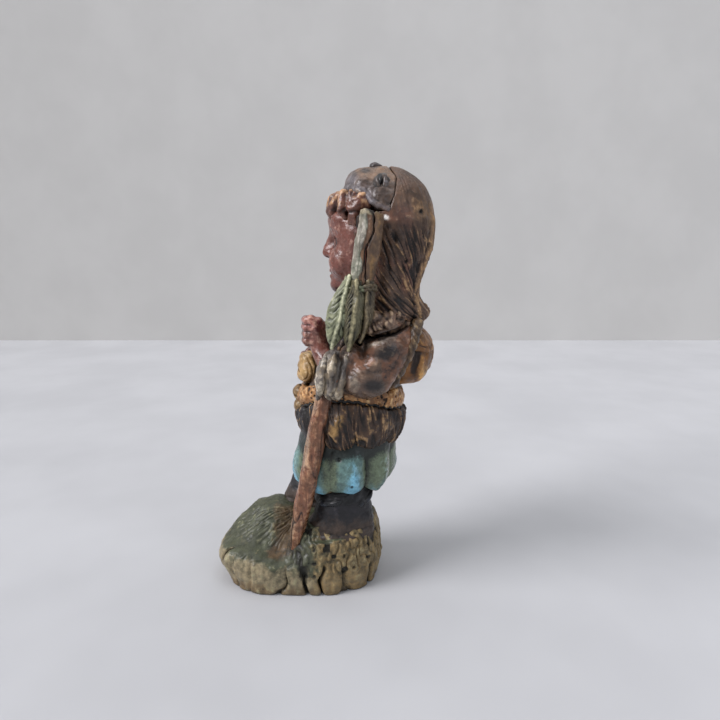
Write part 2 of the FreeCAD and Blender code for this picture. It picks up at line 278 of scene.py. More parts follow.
# ================================================================ paint
class Nodes:
    """Short ways to add and join shader nodes."""

    def __init__(self, name):
        self.material = bpy.data.materials.new(name)
        self.material.use_nodes = True
        self.tree = self.material.node_tree
        self.shader = self.tree.nodes["Principled BSDF"]
        self.place = self.tree.nodes.new("ShaderNodeTexCoord").outputs["Object"]

    def new(self, kind, values=(), **settings):
        node = self.tree.nodes.new(kind)
        for key, value in settings.items():
            setattr(node, key, value)
        for socket, value in dict(values).items():
            if isinstance(value, bpy.types.NodeSocket):
                self.tree.links.new(value, node.inputs[socket])
            else:
                node.inputs[socket].default_value = value
        return node

    def mask(self, name):
        return self.new("ShaderNodeAttribute", attribute_name=name).outputs["Fac"]

    def noise(self, size, detail=3.0, rough=0.6):
        """Noise around 0.5, with bumps of a size in millimetres."""
        node = self.new("ShaderNodeTexNoise", {"Vector": self.place, "Scale": 1 / (size * MM),
                                               "Detail": detail, "Roughness": rough})
        return node.outputs["Fac"]

    def maths(self, kind, a, b):
        return self.new("ShaderNodeMath", {0: a, 1: b}, operation=kind).outputs[0]

    def ramp(self, value, start, end, low=0.0, high=1.0):
        return self.new("ShaderNodeMapRange", {"Value": value, "From Min": start, "From Max": end,
                                               "To Min": low, "To Max": high},
                                               interpolation_type="SMOOTHSTEP").outputs[0]

    def mix(self, amount, a, b):
        sockets = {"Factor": amount, 6: a, 7: b}
        return self.new("ShaderNodeMix", sockets, data_type="RGBA").outputs[2]


def colour(text):
    """A screen colour such as "7a6a50" as linear light."""
    parts = (int(text[place:place + 2], 16) / 255 for place in (0, 2, 4))
    linear = (part / 12.92 if part <= 0.04045 else ((part + 0.055) / 1.055) ** 2.4 for part in parts)
    return (*linear, 1.0)


def varnish_over(n, roughness, height, amount):
    """Roughness, brush marks and a satin coat on the paint made so far."""
    bump = n.new("ShaderNodeBump", {"Height": height, "Strength": 0.8, "Distance": 0.22 * MM})
    n.tree.links.new(bump.outputs["Normal"], n.shader.inputs["Normal"])
    n.tree.links.new(roughness, n.shader.inputs["Roughness"])
    n.shader.inputs["Coat Weight"].default_value = amount
    n.shader.inputs["Coat Roughness"].default_value = 0.25
    n.shader.inputs["Specular IOR Level"].default_value = 0.4


def painted(name, wash_and_shade, base, other, dry, masks=(), patch=3.0, brush=0.8, gloss=0.42, varnish=0.2, pores=0.5,
            worn=0.3):
    """Hand painted resin: base mottled with other, the wash_and_shade colour dark in the grooves, painted
    shade from ambient occlusion in hollows and where pieces meet, a dry-brushed colour on the ridges, up to
    four masked colours, pin holes and an uneven satin varnish."""
    n = Nodes(name)
    broad, middle, fine, speck = n.noise(patch), n.noise(1.1, 4.0), n.noise(0.45, 4.0), n.noise(0.16, 2.0)
    blotches = n.maths("ADD", n.maths("MULTIPLY", broad, 0.7), n.maths("MULTIPLY", middle, 0.3))
    paint = n.mix(n.ramp(blotches, 0.38, 0.62), colour(base), colour(other))
    for mask_name, tint in zip(MASKS, masks):
        edge = n.maths("ADD", n.mask(mask_name), n.ramp(middle, 0.25, 0.75, -0.22, 0.22))
        paint = n.mix(n.ramp(edge, 0.1, 0.9), paint, colour(tint))
    relief = n.mask("relief")
    low = n.maths("ADD", relief, n.ramp(fine, 0.25, 0.75, -0.25, 0.25))
    paint = n.mix(n.ramp(low, -0.95, 0.15, 0.96, 0.0), paint, colour(wash_and_shade))
    high = n.maths("ADD", relief, n.ramp(middle, 0.3, 0.7, -0.6, 0.25))
    paint = n.mix(n.ramp(high, 0.2, 1.05, 0.0, brush), paint, colour(dry))
    stain = n.maths("MULTIPLY", n.ramp(n.noise(2.4), 0.3, 0.7, 1 - worn, 1 + worn),
                    n.ramp(middle, 0.3, 0.7, 0.84, 1.16))
    stain = n.maths("MULTIPLY", stain, n.ramp(speck, 0.3, 0.7, 0.9, 1.1))
    stained = {"Factor": 1.0, 6: paint, 7: stain}
    paint = n.new("ShaderNodeMix", stained, data_type="RGBA", blend_type="MULTIPLY").outputs[2]
    # painted shade: ambient occlusion darkens hollows and the joins between pieces with the wash_and_shade
    # colour
    painted_occlusion_shade = n.new("ShaderNodeAmbientOcclusion", {"Distance": 2.2 * MM}, samples=6).outputs["AO"]
    paint = n.mix(n.ramp(painted_occlusion_shade, 0.15, 0.75, 0.8, 0.0), paint, colour(wash_and_shade))
    cells = n.new("ShaderNodeTexVoronoi", {"Vector": n.place, "Scale": 1 / (1.5 * MM)})
    holes = n.maths("MULTIPLY", n.ramp(cells.outputs["Distance"], 0.07, 0.12, 1.0, 0.0),
                    n.ramp(cells.outputs["Color"], 0.78, 0.8, 0.0, pores))
    paint = n.mix(holes, paint, colour("120d0a"))
    n.tree.links.new(paint, n.shader.inputs["Base Color"])
    height = n.maths("ADD", n.maths("MULTIPLY", middle, 0.8), n.maths("MULTIPLY", fine, 0.35))
    height = n.maths("SUBTRACT", n.maths("ADD", height, n.maths("MULTIPLY", speck, 0.2)), holes)
    dullness = n.maths("ADD", middle, n.ramp(relief, -1.0, 1.0, 0.25, -0.1))
    varnish_over(n, n.ramp(dullness, 0.3, 0.9, gloss - 0.12, gloss + 0.3), height, varnish)
    return n.material


# ================================================================ the ground
def base_mound():
    centre, half = spot("base_mound")
    flutes = 20
    crack = [(6.8, -0.6, 13), (10.4, 0.3, 11.2), (12.2, 1.0, 7.5), (13.2, 1.6, 3), (13.4, 2.2, -1)]

    def flute(x, y, z):
        """How deep into a gap between two flutes a place is, how high those flutes reach, and how far
        each stands out."""
        angle = np.arctan2(y / half[1], x / half[0])
        c, s = np.cos(angle), np.sin(angle)
        wander = 0.9 * noise(2.2 * c, 2.2 * s, seed=3) + 0.3 * noise(5 * c, 5 * s, z / 3.5, seed=7)
        count = flutes * angle / (2 * math.pi) + 0.2 + wander
        apart = np.abs(count - np.floor(count) - 0.5) * 2
        first, stone = (np.mod(number + flutes / 2, flutes) - flutes / 2
                        for number in (np.floor(count), np.round(count)))
        deep = np.clip(0.6 + 0.95 * noise(first * 3.7, seed=5), 0.12, 1.3)
        gap = deep * np.exp(-(apart / 0.17) ** 2) + 0.16 * (1 - apart)
        top = 7.0 + 2.8 * ramp(-y, 3, 11) + 1.2 * noise(6 * c, 6 * s, seed=4)
        top = top + 1.3 * noise(stone * 3.3, seed=16)
        return gap, top, 0.35 * noise(stone * 5.1, seed=8)

    def top_of(x, y):
        """How high the ground lies: one rise under each boot, a bump at the foot of the staff."""
        left = 1 - ramp(np.hypot((x - 1.0) / 12.4, (y - 9.0) / 11.8), 0.76, 1.12)
        right = 1 - ramp(np.hypot((x + 3.6) / 13.5, (y + 4.5) / 15.6), 0.08, 1.1)
        rise = -weld(-8.4 * left, -9.6 * right, 2.0) + 1.9 * near(np.hypot(x - 8.6, y + 0.8), 2.6)
        top = 7.4 + 1.6 * ramp(-y, 4, 12) + rise + 0.5 * noise(x / 3, y / 3, seed=6)
        beside_boot = 12.2 + 0.12 * y + 9 * (1 - ramp(x, 6.5, 10.5)) + 0.4 * noise(x / 1.5, y / 1.5, seed=10)
        return np.where(y > -4, np.minimum(top, beside_boot), top)

    def shape(p):
        x, y, z = p
        under = (1 - ramp(z, 0, 6.5)) * np.where(y < 0, 0.13, 0.06)
        wall = squarish(x, y / (1 - under), half[0] - 0.1, half[1] - 0.1, 2.8)
        gap, top, out = flute(x, y, z)
        lean = (0.12 - 0.08 * ramp(y, -2, 4)) * np.maximum(z - 6.5, 0) + 0.3 * ramp(z, top - 0.8, top + 0.8)
        cut = (1.7 * gap - out) * (1 - ramp(z, top - 3.5, top + 2.0))
        body = trim(wall + lean + 0.3 + cut, (z - top_of(x, y)) * 0.8, 3.0 - 1.5 * ramp(y, -2, 4))
        body = trim(body, -z, 0.5)
        return carve(body, line(p, crack)[0] - 0.45, 0.3)

    def detail(p, n):
        x, y, z = p
        gap, top, _ = flute(x, y, z)
        tufts, stone = rough(p, 2.6, 12, 3), rough((x, y, z / 2), 1.8, 13, 3)
        wall = (1 - ramp(z + 1.4 * tufts, top - 3.4, top + 1.2)) * (1 - ramp(n[2], 0.4, 0.9))
        slope = 1 - ramp(n[2], 0.6, 0.97)
        arc = np.arctan2(y / 1.55, x) * 16
        grass = strokes(arc / 0.8, z / 2.4 - np.hypot(x * 1.5, y) / 5.0, 11, 0.3)
        streak = noise(arc / 0.9, z / 5, seed=17)
        pits = ramp(-noise(arc / 0.9, z / 1.6, seed=14), 0.4, 0.62) * slope * ramp(y, -4, 3)
        away = line(p, crack)[0]
        turf = 1 - wall
        blades = (0.16 + 0.07 * ramp(y, -2, 3)) * grass * slope
        lift = turf * (blades + 0.3 * tufts - 0.35 * pits) + wall * (0.35 * stone + 0.2 * streak)
        lift = lift * ramp(z, 0.1, 1.0)
        relief = turf * (0.4 * grass * (0.3 + 0.7 * slope) + 0.3 * tufts + 0.05 - 1.2 * pits)
        relief = relief + wall * (0.4 + 0.4 * stone + 0.45 * streak - 1.7 * gap) - 1.8 * near(away, 0.8)
        # painted shadow: the turf is darkened round the foot of the staff
        relief = relief - 1.0 * near(np.hypot(x - 8.0, y + 0.6), 2.2) * turf
        # a brown patch on the turf towards the front, round the foot of the staff
        brown_spread = blot((x - 6) / 7, (y + 3) / 5) + 0.6 * noise(x / 3, y / 3, z / 3, seed=9)
        foot = ramp(3.4 - z + 2.0 * tufts, 0, 2.5) * wall
        warm = ramp(y + 3.0 * tufts, 1, 7) * np.maximum(slope, 0.6 * wall)
        bare = np.clip(wall * (0.8 + 0.4 * stone), 0, 1)
        brown_patch = ramp(brown_spread, 0.3, 1.1) * turf * 0.85
        return lift, relief, bare, foot * 0.8, brown_patch, warm * 0.65

    paint = painted("moss_and_stone_paint", "15140c", "4b4e3a", "3f4230", "929070",
                    ("8d8064", "6d5b40", "54422b", "86704a"), patch=5.0, gloss=0.5, varnish=0.15, worn=0.3)
    cast("mossy_base", ["base_mound"], paint, centre - half - (1, 1, 0),
         centre + half + (1, 1, 5.5), FINE * 1.25, shape, detail)


# ================================================================ feet and legs
def boot(side):
    low, high = (np.array(corner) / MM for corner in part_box(f"{side}_boot"))
    middle, back = (low[0] + high[0]) / 2, (low[1] + high[1]) / 2 - 0.1
    profile = ((1, 0.2, 4.5, 8.0), (4, 0.1, 4.7, 8.2), (6.5, 0.3, 4.6, 8.0), (8.5, 0.9, 4.5, 7.3),
               (11, 1.2, 4.3, 6.5), (15, 1.4, 4.2, 6.0))

    def welt(y):
        return low[2] + 5.6 + 0.13 * (y - back)

    def shape(p):
        x, y, z = p
        rings = [(low[2] + up, back + along, half_x, half_y) for up, along, half_x, half_y in profile]
        return stack((x - middle, y, z), rings, 1.6) - 0.2 * ramp(welt(y) - z, -0.3, 0.4)

    def detail(p, n):
        x, y, z = p
        folds, hide = rough((x / 2.5, y / 3.0, z), 2.2, 31), rough(p, 2.4, 32)
        grain = rough(p, 0.9, 33)
        seam = near(z - welt(y) + 0.3 * noise(y / 2, x / 2, seed=35), 0.35)
        lift = 0.45 * folds + 0.25 * hide + 0.08 * grain - 0.12 * seam
        relief = 0.5 * folds + 0.35 * hide + 0.25 * grain - 0.5 * seam
        rust = near(z - welt(y) - 0.5, 0.7) * ramp(noise(y / 2.6, z, seed=34), -0.5, 0.3)
        lower = ramp(low[2] + 9.2 - z + 1.6 * hide, -1.5, 2.5)
        return lift, relief, rust * 0.8, lower * 0.9

    paint = painted(f"{side}_boot_paint", "060607", "151418", "1c1b20", "4d484d", ("6a4426", "3f332b"),
                    patch=3.0, brush=0.5)
    cast(f"{side}_boot_cast", [f"{side}_boot"], paint, low - (1, 1, 0), high + (1, 1, 1.5),
         FINE, shape, detail)


def trouser_leg(side):
    low, high = (np.array(corner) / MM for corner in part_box(f"{side}_boot"))
    middle, back, join = (low[0] + high[0]) / 2, (low[1] + high[1]) / 2 + 1.2, high[2]
    deep, shift = (1.0, 0.0) if side == "left" else (0.8, 1.2)

    def shape(p):
        x, y, z = p
        profile = ((-1.8, -0.2, 4.4, 6.5), (1.0, 0.0, 4.7, 6.8), (3.5, 0.8, 3.9, 5.8), (6.0, 2.4, 2.6, 3.4))
        rings = [(join + up, back + shift + along, half_x, half_y * deep)
                 for up, along, half_x, half_y in profile]
        lean = 0.08 * np.maximum(z - join, 0)
        return stack((x - middle * (1 - lean), y, z), rings, 1.5)

    def detail(p, n):
        x, y, z = p
        folds = noise(x / 2.6 + z * 0.5, y / 2.4 - z * 0.45, z / 2.2, seed=41)
        creases = near(folds + 0.1, 0.14)
        return 0.55 * folds - 0.25 * creases, folds * 0.9 + 0.2 * rough(p, 0.8, 42) - 0.8 * creases

    # the blue-grey dry brush on the fold ridges is partly a painted glossy highlight
    paint = painted(f"{side}_trouser_paint", "040506", "0c0e12", "111419", "3c4553", patch=2.0, brush=0.5,
                    gloss=0.32)
    cast(f"{side}_trouser_cast", [f"{side}_trouser_leg"], paint,
         (middle - 6, back - 8, join - 3), (middle + 6, back + 8, join + 7), MEDIUM, shape, detail)


# ================================================================ skirt, kilt, belt and hem
WAIST_BACK = 12.6


def belt_height(x, y):
    """The belt line rises over the hips, most towards the front."""
    hip = (x / 12.5) ** 2
    return 43.0 + hip * (3.9 - 0.1 * (y - 12))


def around(x, y, back):
    """Angle round the waist in degrees: 0 in front, 90 at the figure's left, 180 behind."""
    return np.degrees(np.arctan2(x, back - y))


def skirt():
    centre, half = spot("skirt")
    back = 11.2
    bends = (-180, -165, -146, -124, -104, -84, -66, -48, -30, -10, 8, 30, 48, 74, 101, 118, 141, 160, 180)

    def fold(x, y):
        """0 in the bottom of a fold, 1 on a ridge, and how deep that fold is."""
        turn = np.interp(around(x, y, back), bends, np.arange(len(bends)) / 2 - 4)
        apart = 1 - np.abs(turn - np.round(turn)) * 2
        deep = 0.7 + 0.3 * noise(np.floor(turn) * 5.3, seed=57) + 0.7 * near(turn - 3.5, 0.45)
        return apart, deep

    def hem(x, y):
        apart = fold(x, y)[0]
        ragged = 0.4 * noise(x / 2.2, y / 2.2, seed=52)
        return (24.6 + 0.5 * ramp(y, 12, 15) - 1.7 * ramp(y, 15.5, 19) - 0.7 * apart * ramp(20 - y, 0, 4)
                + ragged)

    def shape(p):
        x, y, z = p
        rings = [(21, 9.4, 9.0, 8.2), (23.5, 10.1, 10.7, 11.0), (26.0, 10.7, 11.9, 12.3),
                 (28.4, 10.9, 12.4, 12.7), (31.4, 11.2, 12.2, 12.3), (34, 11.6, 11.6, 11.8),
                 (38, 12.0, 10.6, 11.2)]
        apart, deep = fold(x, y)
        groove = 1.8 * deep * (1 - apart ** 0.6) * ramp(z, 40, 28) * ramp(z, 22.6, 24.6)
        body = stack(p, rings, 1.8) + groove
        body = trim(body, hem(x, y) - z, 1.5)
        inside = trim(oval(x, y - 8.6, 8.2, 6.6), z - 25.0, 0.6)
        return carve(body, inside, 0.4)

    def detail(p, n):
        x, y, z = p
        apart, deep = fold(x, y)
        cloth, lumps = rough(p, 1.1, 53), rough(p, 3.6, 58, 3)
        wrinkle = noise(x / 1.6, y / 1.6, z / 6, seed=54)
        upper_pit = line(p, [(12.8, 10.0, 33.2), (10.2, 10.0, 33.2)])[0]
        pit = np.minimum(upper_pit, line(p, [(13, 13.0, 26.6), (11, 13.0, 26.6)])[0] + 0.15)
        over = z - hem(x, y)
        lift = (0.08 * cloth + 0.1 * wrinkle + 0.35 * lumps - 0.7 * near(pit, 0.38)
                + 0.2 * near(over - 0.5, 0.5))
        relief = (1.3 * (apart ** 0.5 - 0.6) * np.minimum(deep, 1.2) + 0.25 * cloth + 0.2 * wrinkle
                  - 2.2 * near(pit, 0.42))
        # painted shade: the relief drops towards the top of the skirt, darkening it under the kilt
        relief = relief - 1.4 * ramp(z, 31.5, 35.5) + 0.25 * lumps
        # sky: light blue on the fold ridges, most low down and away from the back; partly the skirt's blue
        # paint, partly a painted highlight on the ridges
        sky = ramp(apart + 0.4 * lumps - 0.09 * (z - 28.5), 0.35, 1.2) * (1 - 0.8 * ramp(y, 17, 19))
        olive = (0.8 - apart + 0.5 * noise(x / 4, y / 4, z / 5, seed=56) + 0.05 * (z - 30)
                 + 0.7 * ramp(y, 17, 19))
        olive = ramp(olive, 0.0, 0.9)
        edge = ramp(0.7 - over + 0.5 * wrinkle, 0.0, 0.7) * 0.75
        return lift, relief, sky, olive * (1 - 0.6 * sky), edge

    # the sky-blue first tint stands partly for a painted highlight on the fold ridges
    paint = painted("skirt_paint", "141b19", "5a7874", "61807a", "abcdd2", ("6fa9c0", "65735a", "745836"),
                    patch=3.5, brush=0.5, gloss=0.32, varnish=0.4, worn=0.2)
    cast("folded_skirt", ["skirt"], paint, centre - half - (1.5, 1.5, 2.5),
         centre + half + (1.5, 1.5, 3.5), FINE * 1.1, shape, detail)


def fur_kilt():
    centre, half = spot("fur_kilt")
    lobes, first_notch = 9, 96.0

    def lobe(x, y):
        """0 at a notch in the lower edge, 1 in the middle of a lobe."""
        turn = (around(x, y, WAIST_BACK) - first_notch) * lobes / 360
        return np.abs(turn - np.round(turn)) * 2

    def shape(p):
        x, y, z = p
        rings = [(33.0, WAIST_BACK, 11.0, 10.4), (35.5, WAIST_BACK, 12.4, 11.8),
                 (38, WAIST_BACK, 13.5, 12.9), (41, WAIST_BACK, 14.0, 13.4), (44, WAIST_BACK, 13.7, 13.0),
                 (48.0, WAIST_BACK, 12.5, 11.8)]
        body = stack(p, rings, 1.8) + 1.5 * (1 - lobe(x, y) ** 0.5) * ramp(z, 44, 36)
        bottom = 36.9 - 1.9 * lobe(x, y) ** 0.5 - 0.3 * ramp(y, 18, 24)
        return trim(trim(body, bottom - z, 1.6), z - belt_height(x, y) + 0.35, 1.1)

    def detail(p, n):
        x, y, z = p
        arc = np.radians(around(x, y, WAIST_BACK)) * 13.2
        lean = 0.12 * z + 0.06 * (z - 41) * (lobe(x, y) - 0.5)
        threads = -strokes((arc + lean) / 0.95, z / 6.0, 61, 0.2)
        grooves = strokes((arc + lean) / 0.7, z / 5.0, 62, 0.22)
        lumps = rough(p, 1.5, 63)
        knots = near(line(p, [(13.4, 10.4, 43.0), (13.4, 9.6, 41.6), (13.4, 8.9, 40.0)])[0], 1.15)
        knots = np.clip(knots + near(line(p, [(13, 14.8, 38.6), (13, 13.2, 38.0)])[0], 0.7), 0, 1)
        front = ramp(7 - y, 0, 4)
        lift = 0.14 * threads + 0.12 * grooves + 0.55 * knots * (0.6 + 0.8 * lumps) + 0.22 * lumps
        relief = 0.7 * threads + 0.4 * grooves + 0.2 * lumps - 0.1 + 0.5 * knots
        rim = (ramp(37.2 - z - 1.5 * lobe(x, y), -0.4, 0.9) * 0.5
               + near(y - 23.6, 0.6) * ramp(z, 40, 43) * 0.7)
        return lift, relief, knots * 0.9, np.clip(rim, 0, 1) * ramp(lumps, -0.5, 0.3), front * 0.8

    paint = painted("kilt_fur_paint", "120b08", "412e22", "4a3423", "a5835a", ("8e6f43", "7a5632", "2a282c"),
                    patch=3.5, brush=0.8)
    cast("kilt_of_fur", ["fur_kilt"], paint, centre - half - (1.5, 1.5, 0.5),
         centre + half + (1.5, 1.5, 6.0), FINE * 1.1, shape, detail)


def belt_cord():
    half_x, half_y, turns = 12.35, 11.75, 40
    low, high = spot("belt_cord")[0] - (13.4, 13.4, 1.5), spot("belt_cord")[0] + (13.4, 13.4, 6)

    def shape(p):
        x, y, z = p
        wall = oval(x, y - WAIST_BACK, half_x, half_y)
        angle = np.arctan2(y - WAIST_BACK, x)
        up = z - belt_height(x, y)
        lay = 0.12 * np.cos(2 * np.arctan2(up, wall) + turns * angle)
        return np.hypot(wall, up) - 0.55 - lay

    def detail(p, n):
        grain = rough(p, 0.6, 71)
        return 0.05 * grain, 0.4 * grain - 0.4

    paint = painted("belt_cord_paint", "060504", "15110e", "1d1611", "3d3022", patch=1.5, brush=0.5)
    cast("twisted_belt_cord", ["belt_cord"], paint, low, high, FINE, shape, detail)


def belt_knot():
    c, h = spot("belt_knot")

    def shape(p):
        loops = [((0.4, -1.2, 1.6), (2.4, 2.0, 2.0)), ((-2.2, -0.6, -0.6), (2.0, 1.9, 1.9)),
                 ((2.0, -0.9, -1.2), (2.2, 1.9, 2.0)), ((0, 0.8, 0.2), (3.6, 2.8, 2.6))]
        body = None
        for offset, half in loops:
            blob = egg(p, c + offset, half)
            body = blob if body is None else weld(body, blob, 0.5)
        for hole in ((1.9, -2.6, 0.7), (0.2, -2.9, -1.0), (-1.6, -2.6, 1.0), (3.4, -1.4, 1.2)):
            body = carve(body, egg(p, c + hole, (0.75, 1.0, 0.6)), 0.4)
        return body

    def detail(p, n):
        lumps = rough(p, 1.1, 75)
        holes = near(rough(p, 1.5, 76) + 0.5, 0.22)
        return 0.22 * lumps - 0.25 * holes, 0.3 + 0.8 * lumps - 1.7 * holes

    paint = painted("knot_paint", "0b0806", "7a6140", "6a4f2e", "b59d72", patch=1.6)
    cast("tied_belt_knot", ["belt_knot"], paint, c - h - 1.2, c + h + 1.2, FINE, shape, detail)


def fleece_hem():
    centre, half = spot("fleece_hem")

    def shape(p):
        x, y, z = p
        middle = belt_height(x, y) + 2.3 - 0.9 * (x / 12.5) ** 2
        roll = np.hypot(oval(x, y - WAIST_BACK, 11.3, 10.9), (z - middle) * 0.75) - 1.9
        core = trim(oval(x, y - WAIST_BACK, 12.0, 11.6), np.abs(z - middle) - 2.0, 0.8)
        return weld(roll, core, 1.0)

    def detail(p, n):
        x, y, z = p
        curls = rough(p, 1.5, 81, 3)
        cells = noise(x / 0.65, y / 0.65, z / 0.65, seed=82)
        holes = near(cells + 0.7, 0.25)
        lift = 0.4 * curls - 0.4 * holes
        return lift, 0.45 + 0.7 * curls - 1.8 * holes, ramp(noise(x / 3, y / 3, z / 3, seed=83), -0.1, 0.5)

    paint = painted("fleece_paint", "1f1107", "9c6c3c", "a37546", "ddb781", ("7c532c",), patch=2.2,
                    pores=0.9)
    cast("curly_fleece_hem", ["fleece_hem"], paint, centre - half - (1.5, 1.5, 1.5),
         centre + half + (1.5, 1.5, 5.0), FINE, shape, detail)


# ================================================================ jacket, collar and arms
def jacket_body():
    c, h = spot("jacket_body")
    rings = [(43.5, 12.8, 11.0, 10.7), (47, 13.2, 11.0, 10.6), (54, 15.0, 11.2, 10.1), (60, 17.0, 10.8, 9.4),
             (65, 18.2, 8.4, 7.6)]

    def detail(p, n):
        x, y, z = p
        folds = noise(x / 4, y / 4 + z / 9, z / 2.4, seed=91)
        hide, edge = rough(p, 1.6, 92), near(x + 0.5 * noise(z / 3, seed=93), 0.35) * (y < c[1])
        stitch = near(np.abs(x) - 1.0, 0.25) * near(z / 2.2 - np.round(z / 2.2), 0.16) * (y < c[1])
        lift = 0.5 * folds + 0.2 * hide - 0.35 * edge + 0.25 * stitch
        return lift, 0.6 * folds + 0.5 * hide - 0.1 - 1.5 * edge + 0.8 * stitch

    paint = painted("jacket_paint", "0e0a08", "453830", "524336", "8b7862", patch=3.0, brush=0.6)
    cast("jacket_hide", ["jacket_body"], paint, c - h - 1, c + h + 1, MEDIUM,
         lambda p: stack(p, rings), detail)


def fur_collar():
    c, h = spot("fur_collar")

    def shape(p):
        x, y, z = p
        roll = np.hypot(oval(x, y - c[1] - 0.1, 12.0, 8.6), (z - 63.7 - 0.06 * (y - 18)) * 0.8) - 2.0
        return weld(roll, egg(p, (0, c[1] + 0.4, 64.0), (12.6, 9.2, 3.4)), 1.0)

    def detail(p, n):
        x, y, z = p
        arc = np.arctan2(x, c[1] - y) * 12
        tufts = strokes(arc / 1.4 + 0.25 * z, z / 3.0, 95, 0.3)
        hairs = strokes(arc / 0.7 + 0.3 * z, z / 2.0, 96)
        lumps = rough(p, 1.8, 97)
        lift = 0.24 * tufts + 0.1 * hairs + 0.35 * lumps
        return lift, 0.5 * tufts + 0.4 * hairs + 0.4 * lumps, ramp(lumps, 0.0, 0.5)

    paint = painted("collar_fur_paint", "150f0b", "6a5445", "785f4e", "c4a888", ("866a51",), patch=2.4)
    cast("collar_of_fur", ["fur_collar"], paint, c - h - 1.4, c + h + 1.4, FINE, shape, detail)


def sleeve(side):
    sign = 1 if side == "left" else -1
    c, h = spot(f"{side}_sleeve")
    arm = [(11.0, 22.8, 60.2), (12.2, 20.2, 56.8), (12.6, 17.4, 53.4), (12.5, 14.0, 52.2),
           (12.4, 11.0, 52.6)]
    seam = [(14.6, 60.2), (16.4, 60.9), (19.3, 61.6), (22.0, 62.3), (24.8, 63.6)]
    folds = [((15.4, 61.0), (15.2, 58.0), (15.8, 55.6)), ((13.6, 57.2), (12.6, 54.6), (11.6, 51.4)),
             ((10.6, 50.6), (12.2, 49.4), (13.0, 48.0)), ((20.4, 57.0), (18.0, 57.6), (15.8, 57.4)),
             ((20.8, 55.0), (18.4, 54.4), (16.8, 54.6)), ((23.0, 57.6), (22.0, 55.4), (20.2, 53.2))]

    def mirrored(p):
        return p[0] * sign, p[1], p[2]

    def shape(p):
        p = mirrored(p)
        body = tube(p, arm, (4.0, 4.7, 4.8, 4.4, 3.9))
        body = weld(body, egg(p, (12.3, 16.4, 52.7), (4.9, 4.8, 4.7)), 1.5)
        body = weld(body, egg(p, (11.8, 20.0, 58.4), (5.2, 4.8, 4.7), tilt=-25), 1.5)
        body = weld(body, egg(p, (12.6, 12.9, 55.0), (3.7, 3.0, 4.7)), 1.0)
        slot = np.maximum(drawn(p[1], p[2], seam) - 0.5, -body - 1.5)
        return carve(body, np.maximum(slot, 9 - p[0]), 0.3)

    def detail(p, n):
        x, y, z = mirrored(p)
        outside = ramp(x, 12.5, 14)
        creases = sum(near(drawn(y, z, fold), 0.75) for fold in folds) * outside
        lumps, hide = rough(p, 3.2, 101, 3), rough(p, 0.9, 102)
        away = near(drawn(y, z, seam), 0.7)
        fur = strokes((z + 0.35 * y) / 0.9, y / 4.0 + x / 6, 104, 0.3)
        lift = 0.5 * lumps + 0.08 * hide + 0.04 * fur - 0.35 * np.clip(creases, 0, 1.2)
        relief = 0.4 * lumps + 0.25 * hide + 0.12 * fur + 0.3 - 0.7 * np.clip(creases, 0, 1) - 1.8 * away
        patches = blot((y - 20.6) / 3.0, (z - 58.6 - 0.15 * (y - 21)) / 1.5)
        patches = patches + blot((y - 17.6) / 2.4, (z - 51.4) / 1.7)
        rust = ramp(noise(x / 3, y / 3, z / 3, seed=103) + 0.3 * ramp(y, 18, 22), -0.1, 0.4)
        # a paler spot on the front of the arm, and a painted highlight along the ridge under the seam
        pale = blot((y - 13.6) / 1.3, (z - 52.0) / 2.0)
        pale = pale + blot((y - 18.0) / 3.2, (z - 60.2 - 0.35 * (y - 18)) / 0.6)
        return (lift, relief, rust * 0.75, np.clip(patches * 1.1, 0, 1) * outside,
                np.clip(pale, 0, 1) * 0.6 * outside)

    paint = painted(f"{side}_sleeve_paint", "120d0b", "584539", "644f40", "a68e75",
                    ("714a33", "1f1613", "968a7a"), patch=2.8, brush=0.55, gloss=0.34, varnish=0.35)
    cast(f"{side}_sleeve_hide", [f"{side}_sleeve"], paint, c - h - (1.5, 2, 1.5),
         c + h + (1.5, 1.5, 1.5), FINE, shape, detail)


def cuff(side):
    c, h = spot(f"{side}_cuff")
    sign = 1 if side == "left" else -1
    wide = (h[0] + 0.4, h[1] + 0.5, h[2] + 0.5) if side == "left" else h

    def shape(p):
        middle = c + (0.4 * sign, 0.8, 0.4)
        body = egg(p, middle, np.array(wide) * (0.92, 0.98, 1.0), tilt=-6)
        for offset in ((1.7 * sign, -2.3, -0.3), (2.5 * sign, -0.2, 0.4), (2.2 * sign, 2.0, 0.0)):
            body = weld(body, egg(p, middle + offset, (2.2, 1.05, wide[2] * 0.9), tilt=-10), 0.4)
        return body

    def detail(p, n):
        x, y, z = p
        tufts = strokes((y + 0.35 * x * sign + 0.25 * z) / 1.4, z / 4.0, 111, 0.35)
        lumps = rough((x, y, z / 1.7), 1.8, 112)
        lift = 0.22 * tufts + 0.5 * lumps
        return (lift, 0.55 * tufts + 0.55 * lumps + 0.1, ramp(lumps, 0.0, 0.5) * 0.7,
                ramp(-lumps, 0.2, 0.6) * 0.7)

    paint = painted(f"{side}_cuff_paint", "14100f", "6b635b", "766e66", "cbbfa9", ("8c7c64", "443d3a"),
                    patch=2.0, brush=0.75, gloss=0.33, varnish=0.45)
    cast(f"{side}_cuff_fur", [f"{side}_cuff"], paint, c - h - (1.8, 1.5, 1.8),
         c + h + (1.8, 2.6, 2.2), FINE, shape, detail)


# wash_and_shade, base, mottling and dry brush of all bare skin
SKIN = ("2b1411", "7a4a3e", "683d33", "bd9583")


